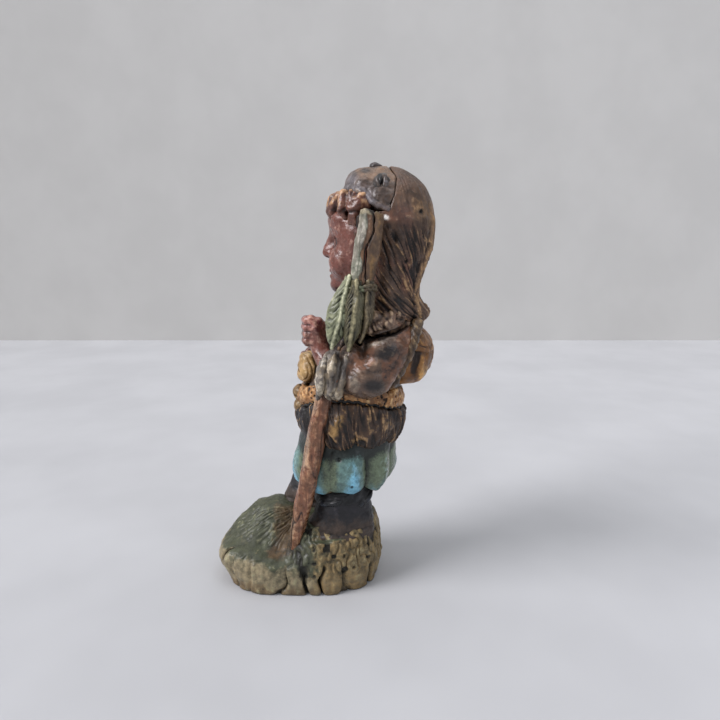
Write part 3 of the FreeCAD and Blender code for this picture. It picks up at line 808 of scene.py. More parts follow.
def left_hand():
    c, h = spot("left_hand")
    wrist, fist = at("left_hand", 0.85, 0.9, -0.85), at("left_hand", -0.3, -0.25, 0.48)

    def shape(p):
        body = tube(p, [wrist, (wrist + fist) / 2 + (-0.2, -0.5, 0), fist], (2.5, 2.1, 2.4))
        body = weld(body, egg(p, fist + (0.2, 0.3, 0.0), (3.0, 2.6, 3.2)), 1.0)
        for number in range(4):
            up = 2.5 - 1.55 * number
            bends = ((2.2, 1.0, up), (1.9, -1.5, up), (0, -2.1, up), (-1.8, -0.6, up - 0.1))
            route = [fist + bend for bend in bends]
            body = weld(body, tube(p, route, (0.9, 1.05, 1.0, 0.8)), 0.5)
        thumb = [fist + (2.4, 1.3, -1.8), fist + (2.7, 0.3, 0.8), fist + (2.1, -0.6, 2.9)]
        return weld(body, tube(p, thumb, (1.2, 1.15, 0.95)), 0.5)

    def detail(p, n):
        _, y, z = p
        lumps = rough(p, 1.6, 121)
        fingers = (z - fist[2] - 1.72) / 1.55
        gaps = (near(fingers - np.round(fingers), 0.16) * ramp(fist[1] - y, -0.3, 0.8)
                * (np.abs(z - fist[2]) < 3))
        crimson = ramp(blot((y - fist[1] - 1.2) / 1.3, (z - fist[2] - 1.8) / 2.2) + 0.3 * lumps, 0.4, 0.8)
        # lighter, pinker towards the top of the fist
        pinker_top = ramp(z, fist[2] - 2, fist[2] + 2) * 0.6
        return 0.16 * lumps - 0.08 * gaps, 0.45 + 0.5 * lumps - 1.1 * gaps, pinker_top, crimson * 0.8

    paint = painted("left_hand_paint", *SKIN, ("985f56", "5e1f29"), patch=1.8, gloss=0.3, varnish=0.5)
    cast("left_fist", ["left_hand"], paint, c - h - 1.4, c + h + (2.4, 2, 1.4), FINE * 0.85, shape,
         detail)


def right_hand():
    c, h = spot("right_hand")

    def shape(p):
        body = egg(p, c + (-0.8, 0.4, 0), (2.9, 2.1, 2.6))
        for number in range(4):
            up = 1.9 - 1.25 * number
            route = [c + (-2.0, -1.2, up), c + (0.6, -2.1, up), c + (3.0, -1.6, up - 0.2)]
            body = weld(body, tube(p, route, (0.8, 0.85, 0.65)), 0.25)
        thumb = [c + (-1.6, 0.2, 2.0), c + (0.6, -0.6, 3.0), c + (2.4, -0.9, 2.9)]
        return weld(body, tube(p, thumb, (1.0, 0.9, 0.75)), 0.4)

    def detail(p, n):
        lumps = rough(p, 1.3, 125)
        return 0.12 * lumps, 0.3 + 0.6 * lumps

    paint = painted("right_hand_paint", *SKIN, ("8a4a48",), patch=1.8, gloss=0.3, varnish=0.5)
    cast("right_palm_and_fingers", ["right_hand"], paint, c - h - 1.2, c + h + 1.2, FINE, shape,
         detail)


# ================================================================ things carried
def front_pouch():
    c, h = spot("front_pouch")

    def shape(p):
        body = egg(p, c + (0, 0.1, -0.3), (3.7, 2.8, 3.5))
        neck = egg(p, c + (0.1, -0.2, 2.6), (2.2, 1.9, 1.3))
        return weld(weld(body, neck, 0.8), egg(p, c + (-0.6, -1.2, -1.6), (2.2, 1.6, 1.7)), 0.5)

    def detail(p, n):
        x, y, z = p
        gathers = strokes((x - y) / 1.1, z / 5, 131, 0.3)
        lumps = rough(p, 1.7, 132)
        crease = near(line(p, [c + (-3, -2.2, -1.0), c + (0, -3.0, 0.1), c + (3, -2.2, -0.8)])[0], 0.4)
        return (0.12 * gathers + 0.3 * lumps - 0.35 * crease,
                0.3 * gathers + 0.6 * lumps + 0.15 - 1.5 * crease)

    paint = painted("pouch_paint", "2e1f12", "b3925f", "a07f52", "e2cca2", patch=2.0)
    cast("drawstring_pouch", ["front_pouch"], paint, c - h - 1.2, c + h + 1.2, FINE, shape,
         detail)


# wash_and_shade, base, mottling and dry brush of the pack and its lid
PACK = ("1c0e05", "8e5f2c", "6a4119", "d3a25e")


def backpack():
    c, h = spot("backpack")

    def shape(p):
        body = egg(p, (0, 25.6, 55.8), (9.4, 6.2, 6.9))
        body = weld(body, egg(p, (0, 25.2, 52.2), (8.6, 4.9, 3.6)), 1.6)
        return weld(body, egg(p, (0, 23.6, 59.5), (9.2, 5.6, 3.5)), 1.5)

    def detail(p, n):
        x, y, z = p
        folds = noise(x / 3.5, y / 2.6, z / 4.0, seed=141)
        hide = rough(p, 0.9, 142)
        lumps = rough(p, 2.6, 144, 3)
        sag = [(9.5, 26.2, 61), (9.2, 28.0, 57.5), (8.6, 26.6, 53), (6.5, 27.5, 50)]
        slumps = near(line(p, sag)[0], 0.8)
        seam = near(np.abs(x) - 4.2 - 0.3 * noise(z / 2, seed=143), 0.35) * (y > c[1])
        shade = blot((y - 26.8) / 1.3, (z - 57) / 3.2) * (np.abs(x) > 4)
        fold = [(8.8, 27.6, 61.5), (8.6, 29.2, 57.5), (8.0, 28.0, 52.6), (6.0, 28.2, 50)]
        ridge = near(line(p, fold)[0], 0.7)
        lift = 0.45 * folds + 0.1 * hide + 0.35 * lumps - 0.5 * slumps - 0.3 * seam + 0.25 * ridge
        relief = (0.7 * folds + 0.45 * hide + 0.8 * lumps + 0.1 - 1.3 * slumps - 1.2 * seam - 1.6 * shade
                  + 0.8 * ridge)
        return lift, relief, ramp(folds, 0.1, 0.6) * 0.7, shade * 0.8, ridge * 0.6

    paint = painted("backpack_paint", *PACK, ("5e3d1c", "1d1714", "b98443"), patch=3.0)
    cast("stuffed_backpack", ["backpack"], paint, c - h - 1.3, c + h + 1.3, MEDIUM, shape,
         detail)


def backpack_flap():
    c, h = spot("backpack_flap")

    def wave(x, y):
        """How the lid's lower edge rises and falls."""
        return 0.9 * np.cos(x / 2.6) + 0.02 * x ** 2 - 0.15 * (y - 25)

    def shape(p):
        x, y, z = p
        shell = egg(p, (0, 25.3, 55.6), (9.9, 6.6, 7.6))
        lower = 57.0 + wave(x, y)
        return trim(trim(carve(shell, egg(p, (0, 25.2, 55.2), (9.2, 5.8, 6.8)), 0.4), lower - z, 0.6),
                    21.8 - y, 0.5)

    def detail(p, n):
        x, y, z = p
        folds = noise(x / 3.0, y / 3.0, z / 2.2, seed=151)
        hide = rough(p, 0.8, 152)
        stitch = near(z - 58.4 - wave(x, y), 0.22) * (np.sin(x * 4 + y * 4) > -0.2)
        return 0.35 * folds + 0.08 * hide - 0.2 * stitch, 0.6 * folds + 0.4 * hide + 0.25 - 1.2 * stitch

    paint = painted("flap_paint", *PACK, patch=2.6)
    cast("backpack_lid", ["backpack_flap"], paint, c - h - (1, 1.5, 1.5), c + h + (1, 1, 2),
         MEDIUM, shape, detail)


def pack_strap(side):
    sign = 1 if side == "left" else -1
    route = [(11.4, 27.0, 63.8), (12.9, 26.0, 61.0), (13.4, 25.1, 58.2), (13.0, 23.7, 55.0),
             (11.8, 22.2, 51.4), (9.4, 20.8, 49.4)]
    c, h = spot(f"{side}_pack_strap")

    def shape(p):
        return tube((p[0] * sign, p[1], p[2]), route, (1.1, 1.25, 1.25, 1.2, 1.1, 0.9))

    def detail(p, n):
        grain = strokes((p[1] * 0.86 + p[2] * 0.4) / 0.7, (p[2] - p[1] * 0.4) / 4.5, 161, 0.3)
        lumps = rough(p, 1.5, 162)
        return 0.12 * grain + 0.15 * lumps, 0.6 * grain + 0.4 * lumps + 0.15

    paint = painted(f"{side}_strap_paint", "1a110a", "5c4732", "4b3927", "9c8460", patch=1.8)
    cast(f"{side}_padded_strap", [f"{side}_pack_strap"], paint, c - h - 1.6, c + h + 1.6,
         FINE, shape, detail)


# ================================================================ head, hair and cap
def head():
    neck, chin_height = (0, 17.5, 66), 71.5
    eye_height, eye_apart, eye_back = 80.6, 3.7, 10.3

    def both(x, y, z):
        return ((x, y, z), (-x, y, z))

    def shape(p):
        skull = egg(p, (0, 17.2, 82.5), (10.2, 9.0, 9.6))
        body = weld(skull, egg(p, (0, 15.0, 76.5), (8.3, 6.9, 7.6)), 2.5)
        body = weld(body, tube(p, [(0, 18.5, 60), neck, (0, 16.5, 74)], (7.0, 5.4, 5.6)), 2.0)
        for centre in both(3.9, 10.6, 76.2):
            body = weld(body, egg(p, centre, (3.1, 2.5, 2.9)), 1.6)
        body = weld(body, egg(p, (0, 10.2, chin_height), (2.9, 2.3, 2.2)), 1.5)
        body = weld(body, egg(p, (0, 10.4, 85.6), (6.8, 2.6, 2.2)), 2.0)
        for centre in both(eye_apart, 8.2, eye_height + 0.2):
            body = carve(body, egg(p, centre, (2.2, 1.7, 1.35)), 1.0)
        body = weld(body, tube(p, [(0, 9.4, 83.2), (0, 8.0, 79.6)], (1.0, 1.25)), 1.2)
        body = weld(body, egg(p, (0, 7.8, 78.6), (1.5, 1.6, 1.35)), 0.7)
        for centre in both(1.25, 8.5, 78.2):
            body = weld(body, egg(p, centre, (0.85, 1.1, 0.85)), 0.35)
        for centre in both(0.65, 7.6, 77.4):
            body = carve(body, egg(p, centre, (0.38, 0.5, 0.5)), 0.25)
        for centre in both(eye_apart, eye_back, eye_height):
            body = weld(body, egg(p, centre, (1.75, 1.35, 1.1)), 0.12)
        lips = [(-2.1, 9.3, 74.3), (-0.9, 8.5, 74.6), (0, 8.35, 74.45), (0.9, 8.5, 74.6), (2.1, 9.3, 74.3)]
        body = weld(body, tube(p, lips, (0.3, 0.6, 0.55, 0.6, 0.3)), 0.5)
        lower_lip = [(-1.7, 9.2, 73.5), (0, 8.55, 73.2), (1.7, 9.2, 73.5)]
        body = weld(body, tube(p, lower_lip, (0.35, 0.75, 0.35)), 0.5)
        mouth = [(-2.5, 9.5, 74.2), (-1.0, 8.1, 73.95), (0, 7.9, 73.85), (1.0, 8.1, 73.95), (2.5, 9.5, 74.2)]
        return carve(body, tube(p, mouth, (0.14, 0.26, 0.26, 0.26, 0.14)), 0.25)

    def detail(p, n):
        x, y, z = p
        side = np.abs(x)
        lid_top = line((side, y, z), [(2.0, 9.6, 80.7), (3.0, 8.9, 81.55), (4.2, 9.0, 81.6),
                                      (5.4, 9.9, 80.8)])[0]
        lid_low = line((side, y, z), [(2.0, 9.6, 80.6), (3.4, 9.2, 79.85), (4.6, 9.5, 79.9),
                                      (5.4, 10.0, 80.7)])[0]
        brow = line((side, y, z), [(1.9, 8.6, 83.5), (3.8, 8.8, 84.2), (6.0, 10.4, 83.2)])[0]
        in_eye = np.hypot((side - eye_apart) / 1.75, (z - eye_height) / 1.05)
        face = ramp(13.5 - y, 0, 2)
        eye = (1 - ramp(in_eye, 0.72, 0.95)) * (y < 11.5)
        iris = (1 - ramp(np.hypot(side - eye_apart + 0.2, z - eye_height - 0.05), 0.62, 0.85)) * (y < 11.5)
        skin, pitted = rough(p, 2.6, 171, 4), rough(p, 0.8, 172)
        mouth = line(p, [(-2.4, 9.3, 74.2), (0, 8.1, 73.85), (2.4, 9.3, 74.2)])[0]
        lines = near(line((side, y, z), [(1.8, 8.6, 77.8), (2.9, 9.0, 75.6), (3.0, 9.6, 73.8)])[0], 0.3)
        lift = ((0.2 * skin + 0.08 * pitted) * (1 - eye)
                + 0.24 * (near(lid_top, 0.3) + 0.8 * near(lid_low, 0.28)) * face)
        lift = lift + 0.28 * near(brow, 0.6) * face - 0.12 * lines * face
        relief = (0.2 + 0.6 * skin + 0.55 * pitted - 1.2 * near(mouth, 0.35) - 0.7 * lines
                  + 0.6 * near(brow, 0.6) * face)
        edge = near(in_eye - 1.0, 0.16) * (y < 11.5)
        relief = relief * (1 - eye) - 1.4 * edge
        blush = (near(np.hypot(side - 4.4, z - 76.2), 2.2) + near(np.hypot(x, z - 78.4), 1.4)
                 + near(mouth, 0.75)) * face
        # painted shade: darker on the neck under the chin and on the sides of the face behind the cheeks
        under = ramp(72.5 - z, 0, 3) * 0.8 + 0.5 * ramp(y, 11.5, 14)
        return (lift, relief, np.clip(blush * 0.6, 0, 1), np.clip(iris * 1.4 - 0.1, 0, 1),
                np.clip(under, 0, 1) * (1 - eye))

    paint = painted("head_paint", *SKIN, ("8a4c3d", "181c24", "4b2a25"), patch=2.4, gloss=0.3, varnish=0.4,
                    pores=0.7, brush=0.65)
    cast("head_and_face", ["head"], paint, (-11.2, 5.2, 59.5), (11.2, 27, 92.5), FINE, shape, detail)


def crown(p):
    """The rounded top of the head that the hair and the cap share."""
    return egg(p, (0, 20.5, 85.5), (12.1, 10.9, 11.6))


def cap_rear(z):
    """Where the cap ends and the hair begins."""
    return np.interp(z, (85.5, 87, 90.5, 93.6, 97.6), (20.4, 20.9, 22.0, 22.4, 20.6))


def hair():
    heights = np.array([60, 63.0, 66, 70, 74, 79, 86.0, 87.0, 90.5, 93.6, 98])
    front_edge = np.array([18.5, 17.5, 15.8, 14.4, 13.6, 13.4, 13.6, 20.8, 22.0, 22.4, 20.6])
    outline = ((62.5, 29.8, 10.8), (64.0, 30.8, 11.8), (65.4, 30.8, 12.4), (67.2, 29.2, 12.2),
               (69, 28.0, 11.8), (71, 28.0, 11.6), (73.6, 28.8, 11.6), (77.6, 30.4, 11.9), (80, 31.0, 12.1),
               (86, 31.4, 12.1))

    def border(z):
        """Arc from the front, in millimetres, of the ridge between the side pelt and the back."""
        return np.radians(np.interp(z, (62, 66, 70.6, 73.6, 77.6, 84, 90),
                                    (122, 125, 130, 135, 141, 148, 152))) * 11.8

    def flow(x, y, z):
        """Arc round the head from the front, and the same with the slant of the locks taken out."""
        arc = np.arctan2(np.abs(x), 20.5 - y) * 11.8
        slant = np.interp(z, (60, 62, 64, 66, 70, 75, 84, 96), (24, 19.5, 15.5, 12.2, 8, 4.6, 1.0, 0))
        behind = ramp(arc - border(z), -1, 2.5)
        return arc, arc - slant * (1 - 0.7 * behind)

    def shape(p):
        x, y, z = p
        rings = [(up, (13 + rear) / 2 + 0.5, half, (rear - 13) / 2 - 0.5) for up, rear, half in outline]
        body = weld(crown(p), stack(p, rings, 1.2), 0.8)
        corner = (63.3 + 1.0 * ramp(21 - y, 0, 5) + 0.9 * np.maximum(y - 28.3, 0)
                  + 0.3 * noise(x / 2, y / 2, seed=181))
        body = trim(body, corner - z, 0.5)
        return trim(body, np.interp(z, heights, front_edge) - y, 0.4)

    def detail(p, n):
        x, y, z = p
        arc, across = flow(x, y, z)
        carved = ramp(86.0 + 2.0 * noise(arc / 4, seed=182) - z, 0, 6)
        locks = strokes(across / 2.4, z / 9.0, 183, 0.25)
        grooves = strokes(across / 0.8, z / 6.5, 184, 0.27)
        threads = -strokes(across / 0.75, z / 6.0, 185, 0.17)
        fine = strokes(across / 0.5, z / 4.0, 189, 0.25)
        lumps = rough(p, 3.6, 186)
        ridge = near(arc - border(z), 0.55) * ramp(88 - z, 0, 4)
        groove = near(arc - border(z) + 1.1, 0.5) * ramp(86 - z, 0, 4)
        upper_pit = line(p, [(11, 27.5, 86.9), (8, 27.5, 86.9)])[0]
        pits = np.minimum(upper_pit, line(p, [(12.5, 24.4, 76.7), (10, 24.4, 76.7)])[0])
        lift = (carved * (0.1 * locks + 0.2 * grooves + 0.13 * threads + 0.05 * fine)
                + (1 - carved) * (0.04 * fine))
        lift = lift + 0.25 * lumps + 0.55 * ridge - 0.35 * groove - 0.6 * near(pits, 0.3)
        shadow = ramp(18.0 - y, 0, 3) * ramp(88 - z, 0, 3)
        relief = (carved * (0.15 * locks + 0.65 * grooves + 0.65 * threads + 0.1 * fine)
                  + (1 - carved) * (0.12 * fine + 0.05))
        relief = (relief + 0.25 * lumps + 0.8 * ridge - 0.8 * groove - 2.0 * near(pits, 0.4) - 0.1 * carved
                  - 1.1 * shadow)
        gold = blot((y - 27.4) / 2.4, (z - 87.5) / 2.4) * 0.8 + blot((y - 30.3) / 1.1, (z - 84) / 7) * 0.6
        gold = gold + ridge + 0.5 * carved * ramp(threads, 0.2, 1)
        red = ramp(noise(y / 3.5, z / 4.5, x / 5, seed=188), -0.1, 0.5) * 0.7
        dark = blot((y - 24.0) / 2.4, (z - 82.0) / 4.0) * 0.8 + blot((y - 29.0) / 1.8, (z - 83) / 2.2) * 0.6
        dark = (dark + blot((y - 25.0) / 1.6, (z - 91.5) / 2.4) * 0.5
                + near(np.hypot(y - 20.6, z - 83.8), 0.7))
        chip = near(np.hypot(y - 19.9, z - 85.5), 0.6) * (x > 8)
        return lift, relief, red, np.clip(gold, 0, 1) * 0.8, np.clip(dark, 0, 1) * 0.75, chip

    paint = painted("hair_paint", "120b08", "654c3b", "533e30", "b28e64",
                    ("634234", "947453", "2a1e18", "efece4"), patch=3.6, brush=0.8, gloss=0.42, varnish=0.15)
    cast("carved_hair", ["hair"], paint, (-13.2, 12.4, 60.5), (13.2, 33, 98.5), FINE * 1.15, shape,
         detail)


def cap():
    def lower_edge(y):
        return np.interp(y, (9, 12, 14.7, 15.9, 16.9, 18.5, 20.6),
                         (90.7, 90.9, 90.4, 89.7, 88.3, 87.0, 86.3))

    def shape(p):
        x, y, z = p
        body = weld(crown(p) - 0.08, egg(p, (0, 15.4, 91.2), (9.6, 4.3, 5.7)), 1.2)
        body = trim(body, lower_edge(y) - z, 0.6)
        return trim(body, y - cap_rear(z) + 0.12, 0.4)

    def detail(p, n):
        x, y, z = p
        over = z - lower_edge(y)
        lumps, hide = rough(p, 3.0, 191, 4), rough(p, 0.8, 192)
        beads = noise((np.arctan2(x, 20 - y) * 11) / 1.7, z / 3.0, seed=193)
        wrinkles = near(noise(x / 4.5, y / 3.4 + z / 5, z / 3.0, seed=194), 0.07) * 0.6
        rim = near(over - 0.75, 0.75)
        under = near(over - 1.9, 0.35) * ramp(beads + 0.6, 0, 0.8)
        lift = 0.4 * lumps + 0.06 * hide + 0.35 * rim * (0.6 + 0.8 * beads) - 0.12 * wrinkles - 0.15 * under
        relief = 0.45 * lumps + 0.3 * hide + 0.15 + 0.5 * rim * beads - 0.5 * wrinkles - 0.6 * under
        relief = relief - 1.2 * ramp(0.35 - over, 0, 0.5)
        # painted sheen: blue-grey light on the front of the cap, along its rim and low on its side, in the
        # second tint
        blue = (blot((y - 12.8) / 1.7, (z - 93.4) / 2.2) + 0.8 * rim
                + 0.5 * near(np.hypot(y - 16.4, (z - 90.4) * 0.8), 2.0))
        dark = (blot((y - 15.8) / 1.6, (z - 95.4) / 1.0)
                + 0.6 * blot((y - 19.0) / 2.4, (z - 90.0) / 3.4) * (np.abs(x) > 7))
        warm = ramp(noise(x / 3, y / 3, z / 3, seed=195) + 0.14 * (z - 92), -0.1, 0.5) * 0.9
        return lift, relief, warm, np.clip(blue + 0.3 * lumps, 0, 1) * 0.7, np.clip(dark, 0, 1) * 0.8

    paint = painted("cap_paint", "17110e", "54443b", "5c493c", "9d866c", ("7a5c42", "6b6569", "271e1b"),
                    patch=2.4, brush=0.5, gloss=0.36, varnish=0.3)
    cast("hide_cap", ["cap"], paint, (-13, 8.6, 85.6), (13, 23.4, 98.2), FINE, shape, detail)


def cap_trims():
    c, h = spot("cap_button")

    def button(p):
        return weld(egg(p, c + (0, -0.1, -0.35), (1.4, 1.2, 0.95)),
                    egg(p, c + (0.2, 0.7, -0.5), (1.2, 1.0, 0.75)), 0.3)

    def grain(p, n):
        lumps = rough(p, 0.8, 201)
        return 0.12 * lumps, 0.5 * lumps

    paint = painted("cap_button_paint", "0d0b0b", "332c2b", "3d3432", "6f6763", patch=1.0, brush=0.5,
                    varnish=0.4)
    cast("cap_top_button", ["cap_button"], paint, c - h - 1.2, c + h + 0.8, FINE * 0.8, button,
         grain)
    for side, sign in (("left", 1), ("right", -1)):
        middle, size = spot(f"{side}_cap_ear")

        def ear(p, middle=middle, sign=sign):
            slit = egg(p, middle + (-0.8 * sign, 0.3, 0.5), (0.8, 0.3, 1.4), tilt=-14)
            body = egg(p, middle + (-2.3 * sign, 0.0, 0), (1.5, 1.9, 2.6), tilt=-14)
            return carve(body, slit, 0.4)

        def striae(p, n, middle=middle):
            _, y, z = p
            slant = y - middle[1] + 0.25 * (z - middle[2])
            marks = strokes(slant / 0.8, z / 4.0, 203, 0.3)
            blue = ramp(noise(slant / 0.8, z / 5, seed=204), -0.2, 0.3)
            return (0.12 * marks, 0.55 * marks - 1.3 * near(slant - 0.3, 0.45) * ramp(z - middle[2], -2, 0),
                    blue * 0.7)

        paint = painted(f"{side}_ear_paint", "0c0a0a", "4a403b", "53463d", "8d8f96", ("5b6270",), patch=1.2,
                        brush=0.5, varnish=0.4)
        cast(f"{side}_cap_knot", [f"{side}_cap_ear"], paint, middle - size - 1.4,
             middle + size + 1, FINE * 0.8, ear, striae)


def fringe():
    count, spread = 11, 74

    def shape(p):
        body = egg(p, (0, 17.6, 88.6), (10.4, 8.9, 3.6))
        for number in range(count):
            turn = math.radians(spread * (2 * number / (count - 1) - 1))
            swing = math.radians(7 * math.sin(number * 2.4))
            long = 84.9 + 0.9 * math.sin(number * 4.1)
            route = [(9.6 * math.sin(turn), 17.6 - 8.5 * math.cos(turn), 90.0),
                     (10.0 * math.sin(turn + swing), 17.5 - 9.3 * math.cos(turn + swing), 87.4),
                     (9.7 * math.sin(turn + 2.4 * swing), 17.4 - 8.9 * math.cos(turn + 2.4 * swing), long)]
            body = weld(body, tube(p, route, (1.3, 1.25, 0.5)), 0.6)
        return trim(body, p[1] - 17.2, 0.5)

    def detail(p, n):
        x, y, z = p
        arc = np.arctan2(x, 18.6 - y) * 10
        curl = arc + 1.3 * noise(arc / 3.0, z / 2.2, seed=214)
        locks = strokes(curl / 1.6, z / 3.4, 211, 0.3)
        lumps = rough(p, 1.6, 212)
        lift = 0.2 * locks + 0.4 * lumps
        top = ramp(lumps + 0.12 * (z - 87.5), 0.0, 0.6)
        return lift, 0.45 * locks + 0.6 * lumps, top * 0.9, ramp(86.6 - z, 0, 2) * 0.8

    paint = painted("fringe_paint", "2b1610", "6b4335", "5d382d", "c79c74", ("a8805c", "6f463a"), patch=2.0,
                    brush=0.6, gloss=0.34, varnish=0.4)
    cast("fringe_curls", ["fringe"], paint, (-13, 6.6, 83), (13, 19, 94), FINE, shape, detail)


# ================================================================ staff, split log and leaves
def staff():
    axis = [(7.2, -1.4, 6.4), (8.0, -0.3, 12), (9.3, 1.6, 21), (10.8, 4.1, 33), (11.6, 5.7, 42),
            (11.0, 7.6, 49), (9.2, 9.6, 55), (10.2, 12.6, 61), (13.8, 15.0, 71)]
    stops, thick = (6.4, 11, 16, 22, 33, 50, 71), (1.3, 1.3, 1.6, 2.1, 2.05, 1.95, 1.9)

    def round_axis(p):
        """The angle about the staff's own line."""
        x, y, z = p
        along_x, along_y, heights = zip(*axis)
        return np.arctan2(y - np.interp(z, heights, along_y), x - np.interp(z, heights, along_x))

    def shape(p):
        away = line(p, axis)[0]
        angle = round_axis(p)
        knots = 0.22 * noise(2.0 * np.cos(angle), 2.0 * np.sin(angle), p[2] / 7.0, seed=221)
        return trim(away - np.interp(p[2], stops, thick) - knots, 5.9 - p[2], 0.5)

    def detail(p, n):
        x, y, z = p
        winding = round_axis(p) * 2.0 + 0.16 * z
        grain = strokes(winding / 0.8, z / 14.0, 222, 0.2)
        splits = near(noise(winding / 1.6, z / 12.0, seed=223), 0.06)
        lumps = rough((x, y, z / 2), 1.8, 224)
        lift = 0.06 * grain - 0.22 * splits + 0.2 * lumps
        relief = 0.3 * grain + 0.25 * lumps + 0.3 - 1.3 * splits
        # painted highlight: pale on the side of the staff that faces the window light
        pale = ramp(-n[1] + 0.5 * lumps, 0.2, 0.8) * ramp(noise(z / 7, seed=225), -0.6, 0.2)
        # reddish-brown tone kept to the side turned away from the light: partly the wood's colour, partly
        # painted shade
        rust = ramp(noise(winding, z / 5, seed=226), 0.0, 0.5) * ramp(n[1] + 0.6, 0, 0.8)
        # painted shade: the staff is coloured almost black from about 51 to 65 mm up, where it passes behind
        # the hand, cuff and leaves
        return lift, relief, rust * 0.6, pale * 0.6, ramp(near(z - 58, 5.5), 0.2, 0.6)

    paint = painted("staff_paint", "24120b", "7c543b", "704631", "b78f6d", ("714530", "937c65", "17100c"),
                    patch=2.6, brush=0.6, gloss=0.38, varnish=0.35)
    cast("walking_staff", ["staff_shaft"], paint, (4.5, -4.4, 5.5), (17.3, 18, 72.5), FINE,
         shape, detail)


def split_height(z):
    """Where the split in the log runs, from front to back, at each height."""
    return np.interp(z, (71, 74, 76.7, 78.4, 80, 81.8, 83.2, 85, 88),
                     (15.6, 15.9, 16.1, 16.1, 16.6, 17.4, 17.6, 17.5, 17.3))


def log_halves():
    axis = [(14.1, 15.0, 69.6), (14.1, 15.4, 74), (14.1, 16.4, 80), (14.1, 17.1, 84), (14.1, 17.3, 88.5)]
    radii = (2.3, 2.65, 2.8, 2.5, 2.3)

    def whole(p):
        x, y, z = p
        body = tube((14.1 + (x - 14.1) * 1.13, y, z), axis, radii)
        top = z - 86.6 + 0.25 * (y - 17) - 0.35 * noise(x / 1.2, y / 1.2, seed=231)
        body = trim(trim(body, top, 0.3), 70.6 - z, 0.5)
        return carve(body, egg(p, (14.6, 17.2, 86.9), (1.3, 1.0, 1.9)), 0.3)

    def opening(z):
        return 0.03 + 0.2 * ramp(z, 75.5, 78) * ramp(85.0 - z, 0, 2.5) * (1 + 0.5 * noise(z / 1.2, seed=232))

    def wavy(z):
        return split_height(z) + 0.18 * noise(z / 1.1, seed=240)

    def bark(p):
        _, y, z = p
        return trim(whole(p), y - wavy(z) + opening(z), 0.2)

    def core(p):
        _, y, z = p
        return trim(whole(p) + 0.15, wavy(z) - y + 0.05, 0.25)

    def bark_detail(p, n):
        x, y, z = p
        grain = strokes((y + 0.5 * x) / 0.8, z / 6.0, 233, 0.25)
        lumps = rough((x, y, z / 1.6), 1.3, 234)
        inner = ramp(y - split_height(z) + 1.3 + 0.35 * noise(z / 1.5, seed=235), 0, 0.3)
        rim = ramp(z, 85.4, 86.3)
        lift = 0.06 * grain + 0.2 * lumps - 0.25 * inner * (1 - rim)
        relief = 0.45 * grain + 0.6 * lumps + 0.15 - 0.4 * inner - 0.9 * near(y - split_height(z), 0.45)
        moss = ramp(noise(y / 1.5, z / 3, seed=236) + 0.5 * ramp(78 - z, 0, 6), 0.1, 0.6) * (1 - inner) * 0.8
        return lift, relief, inner * (1 - rim * 0.5), moss, rim * 0.8

    def core_detail(p, n):
        x, y, z = p
        grain = strokes((y + 0.5 * x) / 0.85, z / 7.0, 237, 0.25)
        lumps = rough((x, y, z / 2), 1.7, 238)
        gold = near(y - split_height(z) - 1.1, 0.8) * ramp(noise(z / 3.5, seed=239), -0.4, 0.3)
        relief = 0.35 * grain + 0.45 * lumps + 0.2 - 0.8 * near(y - split_height(z), 0.35)
        return 0.06 * grain + 0.22 * lumps, relief, gold * 0.7, ramp(z, 85.4, 86.4) * 0.7

    boxes = [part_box(node) for node in ("log_bark", "log_core")]
    low, high = (np.min([box[0] for box in boxes], axis=0) / MM,
                 np.max([box[1] for box in boxes], axis=0) / MM)
    paint = painted("log_bark_paint", "17120d", "858072", "736e62", "bab3a4", ("6a4e38", "6f7061", "a89c80"),
                    patch=1.8, brush=0.6)
    cast("log_with_bark", ["log_bark"], paint, low - 1.2, high + 1, FINE * 0.8, bark,
         bark_detail)
    paint = painted("log_core_paint", "1b110b", "6b523d", "5e4735", "997b59", ("8a6a42", "84704f"),
                    patch=2.4, brush=0.6)
    cast("log_split_half", ["log_core"], paint, low - 1.2, high + 1, FINE * 0.8, core,
         core_detail)


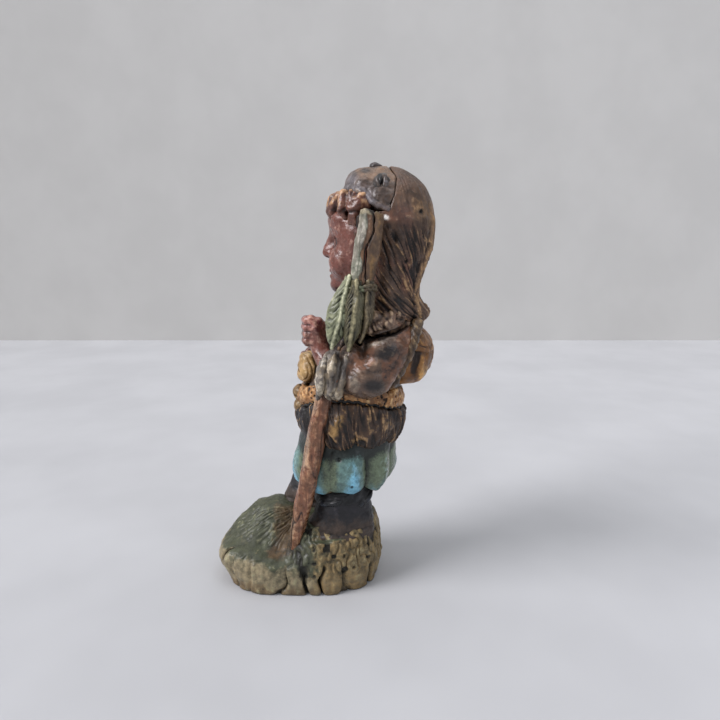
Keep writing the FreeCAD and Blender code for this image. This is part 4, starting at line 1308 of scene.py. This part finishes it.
def leaf(name, node, route, widths, seed, slant, tints):
    """A hanging leaf: widths are its half widths down its length, slant how steeply its veins fall and
    tints its wash_and_shade, base, other and dry-brushed colours."""
    route = np.array(route, float)
    c, h = spot(node)
    stops = (route[0][2] - route[:, 2]) / (route[0][2] - route[-1][2])

    def frame_of(p):
        """Distance along the leaf from 0 to 1, across it and out of it."""
        x, y, z = p
        along = (route[0][2] - z) / (route[0][2] - route[-1][2])
        return along, y - np.interp(along, stops, route[:, 1]), x - np.interp(along, stops, route[:, 0])

    def half_width(along):
        return (np.interp(along, np.linspace(0, 1, len(widths)), widths)
                + 0.12 * noise(along * 9, seed=seed + 3))

    def shape(p):
        along, across, out = frame_of(p)
        half = half_width(along)
        thick = 1.25 * np.interp(along, (0, 0.7, 1), (1, 1, 0.5))
        arch = 0.3 * (across / half) ** 2
        body = (np.sqrt((across / half) ** 2 + ((out + arch) / thick) ** 2) - 1) * 0.9
        return trim(trim(body, (along - 1) * 12, 0.3), -along * 12 - 0.6, 0.3)

    def detail(p, n):
        along, across, _ = frame_of(p)
        side = np.abs(across)
        veins = (along * 13 - slant * side) / 1.35 + 0.6 * noise(along * 6, across / 1.2, seed=seed)
        apart = np.abs(veins - np.round(veins)) * 2
        cut = ((1 - ramp(apart, 0.0, 0.55)) * ramp(side, 0.3, 0.7)
               * (0.6 + 0.5 * noise(along * 7, across, seed=seed + 4)))
        rib = near(across + 0.3 * noise(along * 5, seed=seed + 1), 0.35)
        beside = near(side - 0.75, 0.3) * ramp(noise(along * 4, across * 2, seed=seed + 5), -0.2, 0.4)
        rim = ramp(side / half_width(along), 0.75, 1.0)
        lumps = rough(p, 1.4, seed + 2)
        lift = 0.25 * rib - 0.28 * cut * (1 - rim) - 0.2 * beside + 0.16 * lumps
        relief = 0.6 * rib + 0.3 - 1.3 * cut * (1 - 0.6 * rim) - 0.9 * beside + 0.45 * lumps + 0.2 * rim
        return lift, relief, np.clip(rib + 0.4 * rim, 0, 1) * 0.4, ramp(lumps, 0.0, 0.5) * 0.7

    paint = painted(f"{name}_paint", *tints, (tints[3], tints[2]), patch=1.8, brush=0.75, gloss=0.42,
                    varnish=0.25)
    cast(name, [node], paint, c - h - (1.6, 1.6, 1.0), c + h + (1.4, 1.6, 4.6), FINE * 0.8,
         shape, detail)


def leaf_cord():
    c, h = spot("leaf_cord")

    def shape(p):
        x, y, z = p
        wall = oval(x - 14.1, y - 15.15, 2.45, 2.75)
        angle = np.arctan2(y - 15.15, x - 14.1)
        up = z - 71.3 - 0.25 * np.sin(angle * 2)
        lay = 0.1 * np.cos(2 * np.arctan2(up, wall) + 14 * angle)
        return np.minimum(np.hypot(wall, up - 0.33), np.hypot(wall, up + 0.33)) - 0.38 - lay

    def detail(p, n):
        grain = rough(p, 0.6, 251)
        return 0.08 * grain, 0.5 * grain, ramp(noise(p[1], p[2], seed=252), -0.2, 0.3)

    paint = painted("leaf_cord_paint", "1a130c", "6b6049", "5c4d38", "968b6c", ("6a6f55",), patch=1.2)
    cast("leaf_binding", ["leaf_cord"], paint, c - h - 0.8, c + h + 0.8, FINE * 0.7, shape,
         detail)


# ================================================================ studio
def plain_paint(name, tint, rough_amount):
    """A dull, faintly uneven colour for the floor and the wall."""
    n = Nodes(name)
    paint = n.mix(n.ramp(n.noise(60.0), 0.3, 0.7), colour(tint[0]), colour(tint[1]))
    n.tree.links.new(paint, n.shader.inputs["Base Color"])
    n.shader.inputs["Roughness"].default_value = rough_amount
    return n.material


def sheet_of(name, corners, paint):
    mesh = bpy.data.meshes.new(name)
    mesh.from_pydata([tuple(value * MM for value in corner) for corner in corners], [], [(0, 1, 2, 3)])
    mesh.materials.append(paint)
    piece = bpy.data.objects.new(name, mesh)
    bpy.context.collection.objects.link(piece)


def studio():
    far, wall, up = 1600, -372, 1500
    sheet_of("floor", [(wall, -far, 0), (far, -far, 0), (far, far, 0), (wall, far, 0)],
             plain_paint("floor_paint", ("bfc0c2", "b7b8ba"), 0.75))
    sheet_of("backdrop", [(wall, -far, 0), (wall, far, 0), (wall, far, up), (wall, -far, up)],
             plain_paint("backdrop_paint", ("cbcac7", "c6c5c2"), 0.9))


def aim(piece, place, target):
    piece.location = [value * MM for value in place]
    direction = piece.location.copy()
    direction.xyz = [(to - start) * MM for to, start in zip(target, place)]
    piece.rotation_euler = direction.to_track_quat("-Z", "Y").to_euler()


def lamp(name, place, target, size, power, tint):
    light = bpy.data.lights.new(name, "AREA")
    light.shape = "DISK"
    light.size = size * MM
    light.energy = power
    light.color = colour(tint)[:3]
    piece = bpy.data.objects.new(name, light)
    bpy.context.collection.objects.link(piece)
    aim(piece, place, target)


def lights():
    middle = (0, 5, 50)
    sun = bpy.data.lights.new("window", "SUN")
    sun.energy = 3.1
    sun.angle = math.radians(32)
    sun.color = colour("fdfbff")[:3]
    piece = bpy.data.objects.new("window", sun)
    bpy.context.collection.objects.link(piece)
    aim(piece, (300, -760, 640), middle)
    lamp("room", (500, 500, 380), middle, 600, 1.2, "f0f4ff")
    lamp("ceiling", (-100, 40, 900), middle, 900, 3.0, "fafbff")
    world = bpy.data.worlds.new("soft_room")
    bpy.context.scene.world = world
    world.use_nodes = True
    sky = world.node_tree.nodes["Background"]
    sky.inputs["Color"].default_value = colour("e2e4ea")
    sky.inputs["Strength"].default_value = 0.34


def camera():
    lens = bpy.data.cameras.new("camera")
    lens.sensor_width = SENSOR
    lens.lens = LENS
    lens.clip_start = 0.005
    lens.clip_end = 10
    piece = bpy.data.objects.new("camera", lens)
    bpy.context.collection.objects.link(piece)
    piece.location = [value * MM for value in CAMERA_PLACE]
    piece.rotation_euler = (math.radians(90 - CAMERA_DIP), 0, math.radians(90))
    bpy.context.scene.camera = piece


def figure():
    """Every piece of the figurine, once."""
    base_mound()
    for side in ("left", "right"):
        boot(side)
        trouser_leg(side)
        sleeve(side)
        cuff(side)
        pack_strap(side)
    for make in (skirt, fur_kilt, belt_cord, belt_knot, fleece_hem, jacket_body, fur_collar, left_hand,
                 right_hand, front_pouch, backpack, backpack_flap, head, hair, cap, cap_trims, fringe, staff,
                 log_halves, leaf_cord):
        make()
    leaf("front_hanging_leaf", "front_leaf",
         ((14.3, 12.7, 73.2), (14.9, 11.3, 69), (15.5, 10.3, 64), (15.2, 8.9, 59)),
         (1.0, 2.2, 2.9, 2.9, 2.0, 0.3), 241, 1.0, ("1f2217", "7f8265", "70745a", "c2c1a0"))
    leaf("middle_hanging_leaf", "middle_leaf", ((15.6, 14.2, 72.4), (16.2, 13.6, 66), (15.9, 12.4, 58.6)),
         (1.3, 1.9, 2.1, 2.0, 1.5, 0.3), 244, 2.4, ("1b1a12", "625e45", "544e38", "a09775"))
    leaf("rear_hanging_leaf", "rear_leaf", ((14.9, 16.2, 72.4), (15.4, 16.0, 65), (14.8, 14.9, 60.2)),
         (1.4, 1.7, 1.7, 1.5, 0.9, 0.2), 247, 2.6, ("1d1810", "5b4f39", "4c4230", "8f8061"))


bpy.context.scene.view_settings.view_transform = "Standard"
figure()
studio()
lights()
camera()
